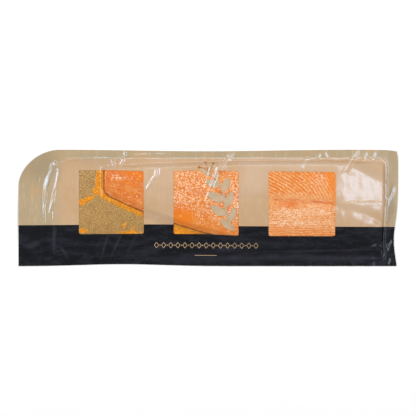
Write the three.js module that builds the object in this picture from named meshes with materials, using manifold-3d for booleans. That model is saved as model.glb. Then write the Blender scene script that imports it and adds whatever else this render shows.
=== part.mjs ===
// A side of hot smoked salmon on a card, vacuum sealed in a long film pouch.
// Millimetres, +Z up. The pouch lies flat with its front up: +X runs from the tail end to the
// shoulder end, +Y from the belly side to the back side. The origin is the centre of its
// footprint, on the surface that it rests on.
//
// The sealed pouch is one solid: film, card and fish lie against each other with no air between.
// Its upper face is the front film drawn down over the fish, the card and the flat seal margin,
// with the folds that the vacuum pulls into it. It rests on the flat underside of the card, and
// the seal margin round the card hangs just clear of the table.

import * as THREE from "three";
import Module from "manifold-3d";
import { mergeVertices } from "three/addons/utils/BufferGeometryUtils.js";

// Pouch: outline and seal margin
const LENGTH = 620;
const WIDTH = 190;
const TAIL_CORNER = { along: 66, across: 58, power: 1.8 }; // the one rounded corner
const SHOULDER_END_BOW = 7; // how far the shoulder end is drawn in between its corners
const SHOULDER_BOW_AT_Y = -52;
const SHOULDER_BOW_SPREAD = 42;
const SHOULDER_BOW_REACH = 40; // how far along the pouch the drawn-in end is felt
// The shoulder end's corner on the back side is drawn in a little, along both of its edges
const SHOULDER_CORNER = { dip: 2.2, dipReach: 26, trim: 2.6, trimReach: 23 };
const MARGIN_THICKNESS = 0.6; // two sealed films with their fine creasing
const BACK_EDGE_WAVE = { depth: 2.4, at: -240, length: 472, fadeIn: 60 };
const BELLY_EDGE_WAVE = { depth: 3.2, at: -140, spread: 90 };

// Card under the fish: a rectangle with rounded corners
const CARD = { left: -239, right: 291, front: -84, back: 80, cornerRadius: 10, rise: 1.2 };
const FOOT_INSET = 5; // the flat underside is a little smaller than the card
const FOOT_HEIGHT = 0.7;
const CARD_RAMP = 7; // the film's ramp from the card's edge down to the margin
const TAIL_RAMP = 26; // the same ramp at the tail end, where the film stands off the card

// Fish: plan, from the cut of the tail to the shoulder
const TAIL_X = -171;
const SHOULDER_X = 287;
const BELLY_Y = -73; // the belly edge's furthest reach
const BELLY_RISE = 96; // how far the belly edge comes up by the tail
const BELLY_POWER = 2.45;
const BACK_Y = 75;
const BACK_FALL = 9; // how far the back edge comes in by the tail
const BACK_POWER = 3;
// The shoulder's corner on the back side is cut off, square to the direction [x, y]
const SHOULDER_CUT = { through: [249, 69], direction: [0.475, 0.88] };

// Fish: thickness above the card
const TAIL_THICKNESS = 9;
const LOIN_THICKNESS = 28;
const LOIN_REACHED = 0.62; // share of the length where the fish is thickest
const SHOULDER_FALL = 11; // what the shoulder end loses again
const SHOULDER_FALLS_FROM = { back: 213, belly: 228, blendLow: -4, blendHigh: 12 };
const FALL_ONSET = 0.12; // share of the fall's length over which it sets in
const LEAST_THICKNESS = { value: 3, blend: 4 }; // of the belly flap at the shoulder
const CREST = 0.62; // where the thickest line lies, from the belly edge (0) to the back edge (1)
// Share of the thickness lost at the belly edge, by the tail and in the loin
const BELLY_THIN = { tail: 0.4, loin: 0.8, power: 1.3, from: 0.3, to: 0.8 };
const BACK_THIN = 0.08; // and at the back edge
// The groove between the back muscle and the belly, from the tail to the shoulder
const GROOVE = { tailY: 44, shoulderY: 4, power: 0.55, depth: 1.9, width: 8 };
const GROOVE_DROOP = { depth: 26, from: 214, length: 75 }; // it turns down towards the belly
// The film slopes down over the fish's edge: how far out it meets the card, and how far in from
// the edge it starts to fall. At the cut corner it spans from the fish to the card's corner.
const DRAPE = { out: 8, in: 9 };
const CUT_DRAPE = { out: 28, in: 3 };
const DRAPE_ROUND = 0.08; // rounding at both ends of the slope, as a share of its width
const DRAPE_BLEND = 0.45; // rounding where two slopes meet

// Seal margin: beyond the card it lifts off the table in low waves
const MARGIN_GAP = 0.4; // least gap to the table
const MARGIN_LIFT = 2.4;
const LIFT_START = 8; // distance from the card where the margin starts to lift
const LIFT_FULL = 40;
const LIFT_LEAST = 0.1; // share of the lift that stays between two waves
const LIFT_WAVE_X = 195;
const LIFT_WAVE_Y = 119;

// Folds in the film, as straight ridges: [x, y] of both ends, height and half width. Each one
// falls away towards its ends.
const FOLD_END_LOSS = 0.6;
// The first group fans out from the card's corner at the tail end.
const FOLDS = [
  { from: [-243, 76], to: [-259, 40], height: 1.9, width: 5 },
  { from: [-259, 40], to: [-263, -34], height: 1.5, width: 5 },
  { from: [-239, 72], to: [-249, 22], height: 1.7, width: 4 },
  { from: [-249, 22], to: [-258, -30], height: 1.5, width: 4 },
  { from: [-243, 76], to: [-168, 82], height: 1.3, width: 4 },
  { from: [-250, -34], to: [-248, -66], height: 1.2, width: 4 },
  // Pinches where the film comes down over the back edge
  { from: [-133, 90], to: [-146, 66], height: 1.5, width: 4 },
  { from: [-158, 82], to: [-147, 64], height: 1.4, width: 4 },
  { from: [40, 86], to: [-1, 19], height: 1.4, width: 4 },
  { from: [162, 82], to: [150, 62], height: 1.4, width: 4 },
  { from: [178, 90], to: [186, 74], height: 1.4, width: 4 },
  { from: [239, 92], to: [222, 58], height: 1.8, width: 4.5 },
  // Short folds down the steep face at the shoulder
  { from: [302, 34], to: [289, 6], height: 1.9, width: 4 },
  { from: [290, 40], to: [280, 34], height: 1.2, width: 4 },
  { from: [304, -52], to: [292, -66], height: 1.6, width: 4 },
  // Slack ridge across the belly behind the shoulder
  { from: [236, -2], to: [290, -30], height: 1.6, width: 6 },
];

// Mesh: the longest steps along and across the pouch, and finer ones where the folds are
const STEP_X = 7;
const FOLD_STEP_X = 3.4;
const ARC_STEP_X = 2;
const ARC_STEP_GROWTH = 0.25; // the steps grow by this share of the distance from the end
const ROWS = 33;
const FOLD_ZONES = [
  [-268, -234],
  [-158, -134],
  [0, 42],
  [272, 306],
];

const clamp01 = (value) => Math.min(1, Math.max(0, value));

function smoothStep(low, high, value) {
  const t = clamp01((value - low) / (high - low));
  return t * t * (3 - 2 * t);
}

function softMin(a, b, blend) {
  const h = Math.max(blend - Math.abs(a - b), 0) / blend;
  return Math.min(a, b) - (h * h * blend) / 4;
}

// Outline

function backEdgeOfPouch(x) {
  const { along, across, power } = TAIL_CORNER;
  const cornerEnd = -LENGTH / 2 + along;
  const share = clamp01((cornerEnd - x) / along);
  const drop = across * (1 - (1 - share ** power) ** (1 / power));
  const { depth, at, length, fadeIn } = BACK_EDGE_WAVE;
  const wave = (depth / 2) * (1 - Math.cos((2 * Math.PI * (x - at)) / length));
  const { dip, dipReach } = SHOULDER_CORNER;
  const endDip = dip * clamp01((x - LENGTH / 2 + dipReach) / dipReach) ** 2;
  const fade = smoothStep(cornerEnd - fadeIn / 2, cornerEnd + fadeIn / 2, x);
  return WIDTH / 2 - drop - wave * fade - endDip;
}

function bellyEdgeOfPouch(x) {
  const { depth, at, spread } = BELLY_EDGE_WAVE;
  return -WIDTH / 2 + depth * Math.exp(-(((x - at) / spread) ** 2));
}

function shoulderInset(x, y) {
  const bow = SHOULDER_END_BOW * Math.exp(-(((y - SHOULDER_BOW_AT_Y) / SHOULDER_BOW_SPREAD) ** 2));
  const { trim, trimReach } = SHOULDER_CORNER;
  const corner = trim * clamp01((y - WIDTH / 2 + trimReach) / trimReach) ** 2;
  return (bow + corner) * smoothStep(LENGTH / 2 - SHOULDER_BOW_REACH, LENGTH / 2, x);
}

// Distance inside the card's outline, negative outside it. The tail end's ramp is longer than
// the others, so distances beyond that end are scaled down to match.
function insideCard(x, y) {
  const { left, right, front, back, cornerRadius } = CARD;
  const fromTail = x < left ? ((x - left) * CARD_RAMP) / TAIL_RAMP : x - left;
  const alongX = Math.min(fromTail, right - x);
  const alongY = Math.min(y - front, back - y);
  const cornerX = Math.max(cornerRadius - alongX, 0);
  const cornerY = Math.max(cornerRadius - alongY, 0);
  if (cornerX > 0 && cornerY > 0) return cornerRadius - Math.hypot(cornerX, cornerY);
  return Math.min(alongX, alongY);
}

// Fish

const alongFish = (x) => clamp01((x - TAIL_X) / (SHOULDER_X - TAIL_X));

function bellyEdgeOfFish(x) {
  return BELLY_Y + BELLY_RISE * (1 - alongFish(x)) ** BELLY_POWER;
}

function backEdgeOfFish(x) {
  return BACK_Y - BACK_FALL * (1 - alongFish(x)) ** BACK_POWER;
}

// Climbs in a straight line from 0 at 0 to 1 at 1, rounded by a width at both ends.
function softRamp(value, round) {
  return (Math.hypot(value, round) - Math.hypot(value - 1, round) + 1) / 2;
}

// How far the film has climbed from the card (0) onto the fish's upper face (1).
function drapedShare(x, y) {
  const slope = bellyEdgeOfFish(x + 1) - bellyEdgeOfFish(x);
  const fromBelly = (y - bellyEdgeOfFish(x)) / Math.hypot(1, slope);
  const { through, direction } = SHOULDER_CUT;
  const fromCut = direction[0] * (through[0] - x) + direction[1] * (through[1] - y);
  const climbed = [fromBelly, backEdgeOfFish(x) - y, x - TAIL_X, SHOULDER_X - x].map(
    (inside) => (inside + DRAPE.out) / (DRAPE.out + DRAPE.in),
  );
  climbed.push((fromCut + CUT_DRAPE.out) / (CUT_DRAPE.out + CUT_DRAPE.in));
  const least = climbed.reduce((low, share) => softMin(low, share, DRAPE_BLEND));
  return Math.max(0, softRamp(least, DRAPE_ROUND));
}

// Depth of the groove along the fish.
function grooveDepth(x, y) {
  const { tailY, shoulderY, power, depth, width } = GROOVE;
  const droop = GROOVE_DROOP.depth * clamp01((x - GROOVE_DROOP.from) / GROOVE_DROOP.length) ** 2;
  const middle = tailY + (shoulderY - tailY) * alongFish(x) ** power - droop;
  return depth * alongFish(x) * Math.exp(-(((y - middle) / width) ** 2));
}

// Thickness of the fish under a point of its upper face, without its rounded edge.
function crownOfFish(x, y) {
  const along = alongFish(x);
  const grown = (LOIN_THICKNESS - TAIL_THICKNESS) * smoothStep(0, LOIN_REACHED, along);
  const full = TAIL_THICKNESS + grown;
  const belly = bellyEdgeOfFish(x);
  const across = clamp01((y - belly) / (backEdgeOfFish(x) - belly));
  const toBelly = Math.max(0, (CREST - across) / CREST);
  const toBack = Math.max(0, (across - CREST) / (1 - CREST));
  const { tail, loin, power, from, to } = BELLY_THIN;
  const bellyThin = tail + (loin - tail) * smoothStep(from, to, along);
  const section = 1 - bellyThin * toBelly ** power - BACK_THIN * toBack ** 2;
  const { back, belly: bellyFrom, blendLow, blendHigh } = SHOULDER_FALLS_FROM;
  const fallsFrom = bellyFrom + (back - bellyFrom) * smoothStep(blendLow, blendHigh, y);
  const toShoulder = softRamp((x - fallsFrom) / (SHOULDER_X - fallsFrom), FALL_ONSET);
  const fallen = full * section - SHOULDER_FALL * toShoulder;
  const { value, blend } = LEAST_THICKNESS;
  return -softMin(-fallen, -value, blend) - grooveDepth(x, y);
}

// Film

function foldHeight(fold, x, y) {
  const [x1, y1] = fold.from;
  const [x2, y2] = fold.to;
  const length = Math.hypot(x2 - x1, y2 - y1);
  const along = ((x - x1) * (x2 - x1) + (y - y1) * (y2 - y1)) / length;
  const nearest = Math.min(length, Math.max(0, along)) / length;
  const away = Math.hypot(x - x1 - nearest * (x2 - x1), y - y1 - nearest * (y2 - y1));
  const taper = 1 - FOLD_END_LOSS * (2 * nearest - 1) ** 2;
  return fold.height * taper * Math.exp(-((away / fold.width) ** 2));
}

// How far the seal margin stands off the table.
function marginLift(x, y) {
  const { left, right, front, back } = CARD;
  const out = Math.hypot(Math.max(left - x, x - right, 0), Math.max(front - y, y - back, 0));
  const phase = 2 * Math.PI * (x / LIFT_WAVE_X + y / LIFT_WAVE_Y);
  const wave = LIFT_LEAST + ((1 - LIFT_LEAST) / 2) * (1 + Math.sin(phase));
  return MARGIN_GAP + MARGIN_LIFT * wave * smoothStep(LIFT_START, LIFT_FULL, out);
}

function filmHeight(x, y) {
  const card = CARD.rise * smoothStep(-CARD_RAMP, 0, insideCard(x, y));
  const fish = crownOfFish(x, y) * drapedShare(x, y);
  const folds = FOLDS.reduce((sum, fold) => sum + foldHeight(fold, x, y), 0);
  return marginLift(x, y) + MARGIN_THICKNESS + card + fish + folds;
}

// Mesh

// Places of the mesh's columns, closer together round the corner's arc and in the fold zones.
function columnPlaces() {
  const places = [-LENGTH / 2];
  for (let x = -LENGTH / 2; x < LENGTH / 2; ) {
    const inFolds = FOLD_ZONES.some(([low, high]) => x >= low && x <= high);
    const arcStep = ARC_STEP_X + (x + LENGTH / 2) * ARC_STEP_GROWTH;
    x += Math.min(arcStep, inFolds ? FOLD_STEP_X : STEP_X);
    places.push(Math.min(x, LENGTH / 2));
  }
  return places;
}

// A box whose upper and lower faces are a grid of cells, drawn into the pouch's shape.
function pouchGeometry() {
  const columns = columnPlaces();
  const cells = columns.length - 1;
  const geometry = new THREE.BoxGeometry(1, 1, 1, cells, ROWS, 1);
  const place = geometry.attributes.position;
  for (let i = 0; i < place.count; i++) {
    const x = columns[Math.round((place.getX(i) + 0.5) * cells)];
    const across = place.getY(i) + 0.5;
    const y = THREE.MathUtils.lerp(bellyEdgeOfPouch(x), backEdgeOfPouch(x), across);
    const height = place.getZ(i) > 0 ? filmHeight(x, y) : marginLift(x, y);
    place.setXYZ(i, x - shoulderInset(x, y), y, height);
  }
  return geometry;
}

// The flat foot under the card: the part of the underside that the pouch rests on.
function footGeometry() {
  const { left, right, front, back } = CARD;
  const length = right - left - 2 * FOOT_INSET;
  const width = back - front - 2 * FOOT_INSET;
  const geometry = new THREE.BoxGeometry(length, width, FOOT_HEIGHT);
  return geometry.translate((left + right) / 2, (front + back) / 2, FOOT_HEIGHT / 2);
}

// Joins closed shapes that overlap into one.
async function joined(...shapes) {
  const wasm = await Module();
  wasm.setup();
  const solids = shapes.map((shape) => {
    shape.deleteAttribute("normal");
    shape.deleteAttribute("uv");
    const merged = mergeVertices(shape, 1e-4);
    const vertProperties = new Float32Array(merged.attributes.position.array);
    const triVerts = new Uint32Array(merged.index.array);
    return new wasm.Manifold(new wasm.Mesh({ numProp: 3, vertProperties, triVerts }));
  });
  const whole = solids.reduce((sum, solid) => sum.add(solid)).getMesh();
  const geometry = new THREE.BufferGeometry();
  geometry.setAttribute("position", new THREE.BufferAttribute(whole.vertProperties, 3));
  geometry.setIndex(new THREE.BufferAttribute(whole.triVerts, 1));
  return geometry;
}

const film = new THREE.MeshStandardMaterial({ color: 0xcdb38d, roughness: 0.35, metalness: 0 });

const pouch = new THREE.Mesh(await joined(pouchGeometry(), footGeometry()), film);
pouch.name = "sealed_pouch";

const part = new THREE.Group();
part.add(pouch);

export default part;
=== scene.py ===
"""A side of hot smoked salmon on a gold card, vacuum sealed in a printed pouch with windows.

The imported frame's one solid, sealed_pouch, is replaced by the film and by what lies in it. Forms
are written in millimetres, with the same values as the solid's, and meshes are made in metres.
"""

import logging
import math
import random
from dataclasses import dataclass
from enum import Enum
from typing import Callable, ClassVar, Iterable, Sequence

import bpy
import numpy as np
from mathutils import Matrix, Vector


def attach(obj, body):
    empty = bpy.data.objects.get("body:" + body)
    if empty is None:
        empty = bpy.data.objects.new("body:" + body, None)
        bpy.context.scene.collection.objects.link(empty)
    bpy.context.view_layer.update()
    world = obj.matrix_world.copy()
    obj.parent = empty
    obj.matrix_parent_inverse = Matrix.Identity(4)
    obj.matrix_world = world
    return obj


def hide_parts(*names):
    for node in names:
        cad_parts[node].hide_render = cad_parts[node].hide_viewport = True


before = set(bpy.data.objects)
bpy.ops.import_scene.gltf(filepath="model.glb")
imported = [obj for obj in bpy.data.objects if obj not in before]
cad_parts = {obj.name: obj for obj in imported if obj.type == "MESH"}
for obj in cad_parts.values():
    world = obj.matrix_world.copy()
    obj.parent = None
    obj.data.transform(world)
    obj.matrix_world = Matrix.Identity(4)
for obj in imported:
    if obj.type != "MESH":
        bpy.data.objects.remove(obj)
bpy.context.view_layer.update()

LOG = logging.getLogger("pouch")
MM = 0.001
BODY = "root"
SOLID = "sealed_pouch"

Piece = bpy.types.Object
Socket = bpy.types.NodeSocket
Array = np.ndarray
Field = float | Array
Colour = tuple[float, float, float]
Point = tuple[float, float]
Spot = tuple[float, float, float]

NEARLY = 1e-3


class Slot(Enum):
    """The record's material slots."""

    PRINT = "printed_film"
    CARD = "gold_card"
    FLESH = "salmon_flesh"
    OIL = "fish_oil"


class FilmFace(Enum):
    """What a face of the pouch film shows, with its place in the piece's material list."""

    KRAFT = 0
    BLACK = 1
    CLEAR = 2


def paint(red: int, green: int, blue: int) -> Colour:
    """Turns a screen colour into the linear colour that shaders take.

    Args:
        red: Red from 0 to 255.
        green: Green from 0 to 255.
        blue: Blue from 0 to 255.

    Returns:
        The linear colour.
    """
    knee, slope, offset, power = 0.04045, 12.92, 0.055, 2.4
    shares = (value / 255 for value in (red, green, blue))
    return tuple(
        share / slope if share <= knee else ((share + offset) / (1 + offset)) ** power
        for share in shares
    )


def smooth_step(low: float, high: float, value: Field) -> Field:
    """Rises smoothly from 0 at low to 1 at high.

    Args:
        low: Where the rise starts.
        high: Where it ends.
        value: The value or values to map.

    Returns:
        The share risen.
    """
    share = np.clip((value - low) / (high - low), 0, 1)
    return share * share * (3 - 2 * share)


def soft_min(a: Field, b: Field, blend: float) -> Field:
    """Takes the smaller of two values, rounded where they cross.

    Args:
        a: The first value.
        b: The second value.
        blend: How far apart the values are where the rounding ends.

    Returns:
        The rounded minimum.
    """
    near = np.maximum(blend - np.abs(a - b), 0) / blend
    return np.minimum(a, b) - near * near * blend / 4


def soft_ramp(value: Field, width: float) -> Field:
    """Climbs in a straight line from 0 at 0 to 1 at 1, rounded at both ends.

    Args:
        value: The value or values to map.
        width: How far the rounding reaches.

    Returns:
        The share climbed.
    """
    return (np.hypot(value, width) - np.hypot(value - 1, width) + 1) / 2


# Forms, in millimetres


@dataclass(frozen=True)
class PouchPlan:
    """Outline of the sealed pouch, with one rounded corner at the tail end."""

    length: float = 620.0
    width: float = 190.0
    corner_along: float = 66.0
    corner_across: float = 58.0
    corner_power: float = 1.8
    bow: float = 7.0
    bow_at: float = -52.0
    bow_spread: float = 42.0
    bow_reach: float = 40.0
    end_dip: float = 2.2
    end_dip_reach: float = 26.0
    end_trim: float = 2.6
    end_trim_reach: float = 23.0
    back_wave_depth: float = 2.4
    back_wave_at: float = -240.0
    back_wave_length: float = 472.0
    back_wave_fade: float = 60.0
    belly_wave_depth: float = 3.2
    belly_wave_at: float = -140.0
    belly_wave_spread: float = 90.0

    def back_edge(self, x: Field) -> Field:
        """Gives the edge on the back side.

        Args:
            x: Places along the pouch.

        Returns:
            The edge's Y.
        """
        corner_end = -self.length / 2 + self.corner_along
        share = np.clip((corner_end - x) / self.corner_along, 0, 1)
        rest = 1 - share**self.corner_power
        drop = self.corner_across * (1 - rest ** (1 / self.corner_power))
        turn = 2 * math.pi * (x - self.back_wave_at) / self.back_wave_length
        fade = smooth_step(
            corner_end - self.back_wave_fade / 2, corner_end + self.back_wave_fade / 2, x
        )
        wave = self.back_wave_depth / 2 * (1 - np.cos(turn)) * fade
        by_end = np.clip((x - self.length / 2 + self.end_dip_reach) / self.end_dip_reach, 0, 1)
        return self.width / 2 - drop - wave - self.end_dip * by_end**2

    def belly_edge(self, x: Field) -> Field:
        """Gives the Y of the edge on the belly side."""
        away = (x - self.belly_wave_at) / self.belly_wave_spread
        return -self.width / 2 + self.belly_wave_depth * np.exp(-(away**2))

    def shoulder_inset(self, x: Field, y: Field) -> Field:
        """Gives how far the shoulder end is drawn in.

        Args:
            x: Places along the pouch.
            y: Places across it.

        Returns:
            The distance along X.
        """
        bow = self.bow * np.exp(-(((y - self.bow_at) / self.bow_spread) ** 2))
        by_corner = np.clip((y - self.width / 2 + self.end_trim_reach) / self.end_trim_reach, 0, 1)
        inset = bow + self.end_trim * by_corner**2
        return inset * smooth_step(self.length / 2 - self.bow_reach, self.length / 2, x)


@dataclass(frozen=True)
class CardForm:
    """Card under the fish."""

    left: float = -239.0
    right: float = 291.0
    short: float = 5.0
    front: float = -84.0
    back: float = 80.0
    corner_radius: float = 10.0
    bottom: float = 0.5
    top: float = 1.65
    film_rise: float = 1.2
    ramp: float = 2.4
    tail_ramp: float = 26.0

    def inside(self, x: Field, y: Field) -> Field:
        """Gives the distance inside the card's outline, scaled down beyond its tail end.

        Args:
            x: Places along the pouch.
            y: Places across it.

        Returns:
            The distance, negative outside.
        """
        from_tail = x - self.left
        from_tail = np.where(from_tail < 0, from_tail * self.ramp / self.tail_ramp, from_tail)
        along_x = np.minimum(from_tail, self.right - x)
        along_y = np.minimum(y - self.front, self.back - y)
        corner_x = np.maximum(self.corner_radius - along_x, 0)
        corner_y = np.maximum(self.corner_radius - along_y, 0)
        rounded = self.corner_radius - np.hypot(corner_x, corner_y)
        return np.where((corner_x > 0) & (corner_y > 0), rounded, np.minimum(along_x, along_y))

    def outside(self, x: Field, y: Field) -> Field:
        """Gives the distance to the card from beyond it.

        Args:
            x: Places along the pouch.
            y: Places across it.

        Returns:
            The distance, 0 over the card.
        """
        dx = np.maximum(np.maximum(self.left - x, x - self.right), 0)
        dy = np.maximum(np.maximum(self.front - y, y - self.back), 0)
        return np.hypot(dx, dy)


@dataclass(frozen=True)
class Drape:
    """How far out from an edge and in from it the film climbs, and how soft its bends are."""

    out: float
    into: float
    bend: float = 0.08

    def climbed(self, inside: Field) -> Field:
        """Gives the share that the film has climbed at a distance inside the edge."""
        return soft_ramp((inside + self.out) / (self.out + self.into), self.bend)


@dataclass(frozen=True)
class FishForm:
    """Side of salmon: its plan from the tail's cut to the shoulder, and its thickness."""

    tail_x: float = -171.0
    shoulder_x: float = 287.0
    belly_y: float = -73.0
    belly_rise: float = 96.0
    belly_power: float = 2.45
    back_y: float = 75.0
    back_fall: float = 9.0
    back_power: float = 3.0
    shoulder_round: float = 26.0
    tail_round: float = 8.0
    cut_through: Point = (249.0, 69.0)
    cut_direction: Point = (0.475, 0.88)
    cut_round: float = 16.0
    tail_thickness: float = 9.0
    loin_thickness: float = 28.0
    loin_reached: float = 0.62
    shoulder_fall: float = 11.0
    belly_fall: float = 8.0
    shoulder_falls_from: float = 209.0
    belly_falls_from: float = 239.0
    falls_blend: Point = (6.0, 14.0)
    fall_onset: float = 0.12
    least_thickness: float = 3.0
    least_blend: float = 4.0
    crest: float = 0.62
    belly_thin_tail: float = 0.4
    belly_thin_loin: float = 0.8
    belly_thin_power: float = 1.3
    belly_thins_from: float = 0.3
    belly_thins_to: float = 0.8
    back_thin: float = 0.08
    groove_tail_y: float = 44.0
    groove_shoulder_y: float = 4.0
    groove_power: float = 0.55
    groove_depth: float = 1.9
    groove_width: float = 8.0
    groove_step: float = 9.0
    groove_steps: Point = (196.0, 224.0)
    groove_droop: float = 22.0
    groove_droops_from: float = 214.0
    groove_droop_length: float = 75.0
    belly_drape: Drape = Drape(8.0, 9.0)
    back_drape: Drape = Drape(2.4, 4.6)
    tail_drape: Drape = Drape(4.5, 3.0, 0.02)
    shoulder_drape: Drape = Drape(2.0, 3.2, 0.04)
    cut_drape: Drape = Drape(28.0, 8.0)
    span_step: float = 0.2
    span_slack: float = 0.02

    def along(self, x: Field) -> Field:
        """Gives the share of the fish's length at X."""
        return np.clip((x - self.tail_x) / (self.shoulder_x - self.tail_x), 0, 1)

    def belly_edge(self, x: Field) -> Field:
        """Gives the Y of the fish's belly edge."""
        return self.belly_y + self.belly_rise * (1 - self.along(x)) ** self.belly_power

    def back_edge(self, x: Field) -> Field:
        """Gives the Y of the fish's back edge."""
        return self.back_y - self.back_fall * (1 - self.along(x)) ** self.back_power

    def from_edges(self, x: Field, y: Field) -> tuple[Field, ...]:
        """Gives the distances inside the belly, back, tail and shoulder edges and the cut.

        Args:
            x: Places along the pouch.
            y: Places across it.

        Returns:
            The five distances, each negative beyond its edge.
        """
        slope = self.belly_edge(x + 1) - self.belly_edge(x)
        from_belly = (y - self.belly_edge(x)) / np.hypot(1, slope)
        from_cut = self.cut_direction[0] * (self.cut_through[0] - x)
        from_cut = from_cut + self.cut_direction[1] * (self.cut_through[1] - y)
        return from_belly, self.back_edge(x) - y, x - self.tail_x, self.shoulder_x - x, from_cut

    def inside(self, x: Field, y: Field) -> Field:
        """Gives the distance inside the fish's outline.

        Args:
            x: Places along the pouch.
            y: Places across it.

        Returns:
            The distance, negative outside.
        """
        from_belly, from_back, from_tail, from_shoulder, from_cut = self.from_edges(x, y)
        sides = soft_min(from_belly, from_back, self.tail_round)
        tail_side = soft_min(sides, from_tail, self.tail_round)
        by_shoulder = soft_min(tail_side, from_shoulder, self.shoulder_round)
        return soft_min(by_shoulder, from_cut, self.cut_round)

    def draped(self, x: Field, y: Field) -> Field:
        """Gives how far the film has climbed from the card onto the fish's upper face.

        Args:
            x: Places along the pouch.
            y: Places across it.

        Returns:
            The share climbed.
        """
        drapes = (
            self.belly_drape, self.back_drape, self.tail_drape, self.shoulder_drape, self.cut_drape
        )
        shares = (
            np.maximum(drape.climbed(inside), 0)
            for drape, inside in zip(drapes, self.from_edges(x, y))
        )
        return math.prod(shares)

    def groove_y(self, x: Field) -> Field:
        """Gives the groove between the back muscle and the belly.

        Args:
            x: Places along the pouch.

        Returns:
            The groove's Y.
        """
        fall = self.groove_shoulder_y - self.groove_tail_y
        past = np.clip((x - self.groove_droops_from) / self.groove_droop_length, 0, 1)
        droop = self.groove_droop * past**2 + self.groove_step * smooth_step(*self.groove_steps, x)
        return self.groove_tail_y + fall * self.along(x) ** self.groove_power - droop

    def crown(self, x: Field, y: Field) -> Field:
        """Gives the fish's thickness, without its rounded edge.

        Args:
            x: Places along the pouch.
            y: Places across it.

        Returns:
            The thickness.
        """
        along = self.along(x)
        grown = self.loin_thickness - self.tail_thickness
        full = self.tail_thickness + grown * smooth_step(0, self.loin_reached, along)
        belly = self.belly_edge(x)
        across = np.clip((y - belly) / (self.back_edge(x) - belly), 0, 1)
        to_belly = np.maximum(0, (self.crest - across) / self.crest)
        to_back = np.maximum(0, (across - self.crest) / (1 - self.crest))
        loin = smooth_step(self.belly_thins_from, self.belly_thins_to, along)
        belly_thin = self.belly_thin_tail + (self.belly_thin_loin - self.belly_thin_tail) * loin
        section = 1 - belly_thin * to_belly**self.belly_thin_power - self.back_thin * to_back**2
        falls = (
            (self.belly_falls_from, self.belly_fall),
            (self.shoulder_falls_from, self.shoulder_fall),
        )
        belly_side, back_side = (
            depth * soft_ramp((x - start) / (self.shoulder_x - start), self.fall_onset)
            for start, depth in falls
        )
        fallen = belly_side + (back_side - belly_side) * smooth_step(*self.falls_blend, y)
        left_over = full * section - fallen
        away = (y - self.groove_y(x)) / self.groove_width
        groove = self.groove_depth * along * np.exp(-(away**2))
        return -soft_min(-left_over, -self.least_thickness, self.least_blend) - groove

    def span(self, x: float) -> Point:
        """Finds where a line across the fish enters and leaves its outline.

        Args:
            x: Place of the line.

        Returns:
            The lowest and the highest Y inside the outline.
        """
        y = np.arange(self.belly_y - 1, self.back_y + 1, self.span_step)
        held = y[self.inside(np.full_like(y, x), y) > -self.span_slack]
        return float(held.min()), float(held.max())


@dataclass(frozen=True)
class Crease:
    """A fold in the film: a ridge, or a valley if its height is negative, along a path.

    The widths are those of its slopes to the left and to the right of the path's direction. The
    slopes bulge a little, by the power belly, and a wedge gets lower and narrower along the path.
    The ridge has a slightly rounded top, and sinks to a part of its height at both ends.
    """

    path: tuple[Point, ...]
    height: float
    left: float
    right: float
    wedge: float = 0.0
    belly: float = 1.25
    top: float = 1.03
    top_round: float = 0.001
    end_height: float = 0.15
    end_power: float = 0.45

    def at(self, x: Array, y: Array) -> Array:
        """Gives the fold's height over the flat film.

        Args:
            x: Places along the pouch.
            y: Places across it.

        Returns:
            The height at each place.
        """
        steps = list(zip(self.path, self.path[1:]))
        lengths = [math.dist(a, b) for a, b in steps]
        total = sum(lengths)
        best = np.zeros_like(x)
        done = 0.0
        for (start, end), length in zip(steps, lengths):
            ux, uy = (end[0] - start[0]) / length, (end[1] - start[1]) / length
            along = np.clip((x - start[0]) * ux + (y - start[1]) * uy, 0, length)
            px, py = x - start[0] - along * ux, y - start[1] - along * uy
            share = (done + along) / total
            width = np.where(ux * py - uy * px > 0, self.left, self.right)
            width = width * (1 - self.wedge * share)
            away = np.hypot(px, py) / width
            tent = np.clip(self.top - (away**2 + self.top_round) ** (self.belly / 2), 0, 1)
            ends = np.clip(4 * share * (1 - share), 0, 1) ** self.end_power
            ends = self.end_height + (1 - self.end_height) * ends
            best = np.maximum(best, tent * ends * (1 - self.wedge * share))
            done += length
        return self.height * best


@dataclass(frozen=True)
class Ripples:
    """A seeded field of low waves in the film, all of about the same steepness."""

    seed: int
    count: int
    shortest: float
    longest: float
    steepness: float
    direction: float = 0.0
    spread: float = math.pi

    def at(self, x: Array, y: Array) -> Array:
        """Gives the waves' height.

        Args:
            x: Places along the pouch.
            y: Places across it.

        Returns:
            The height at each place.
        """
        draw = random.Random(self.seed)
        total = np.zeros_like(x)
        for _ in range(self.count):
            length = math.exp(draw.uniform(math.log(self.shortest), math.log(self.longest)))
            angle = self.direction + draw.uniform(-self.spread, self.spread)
            turn = 2 * math.pi * (x * math.cos(angle) + y * math.sin(angle)) / length
            total += length * np.cos(turn + draw.uniform(0, 2 * math.pi))
        return total * self.steepness / (2 * math.pi * math.sqrt(self.count / 2))


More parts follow.
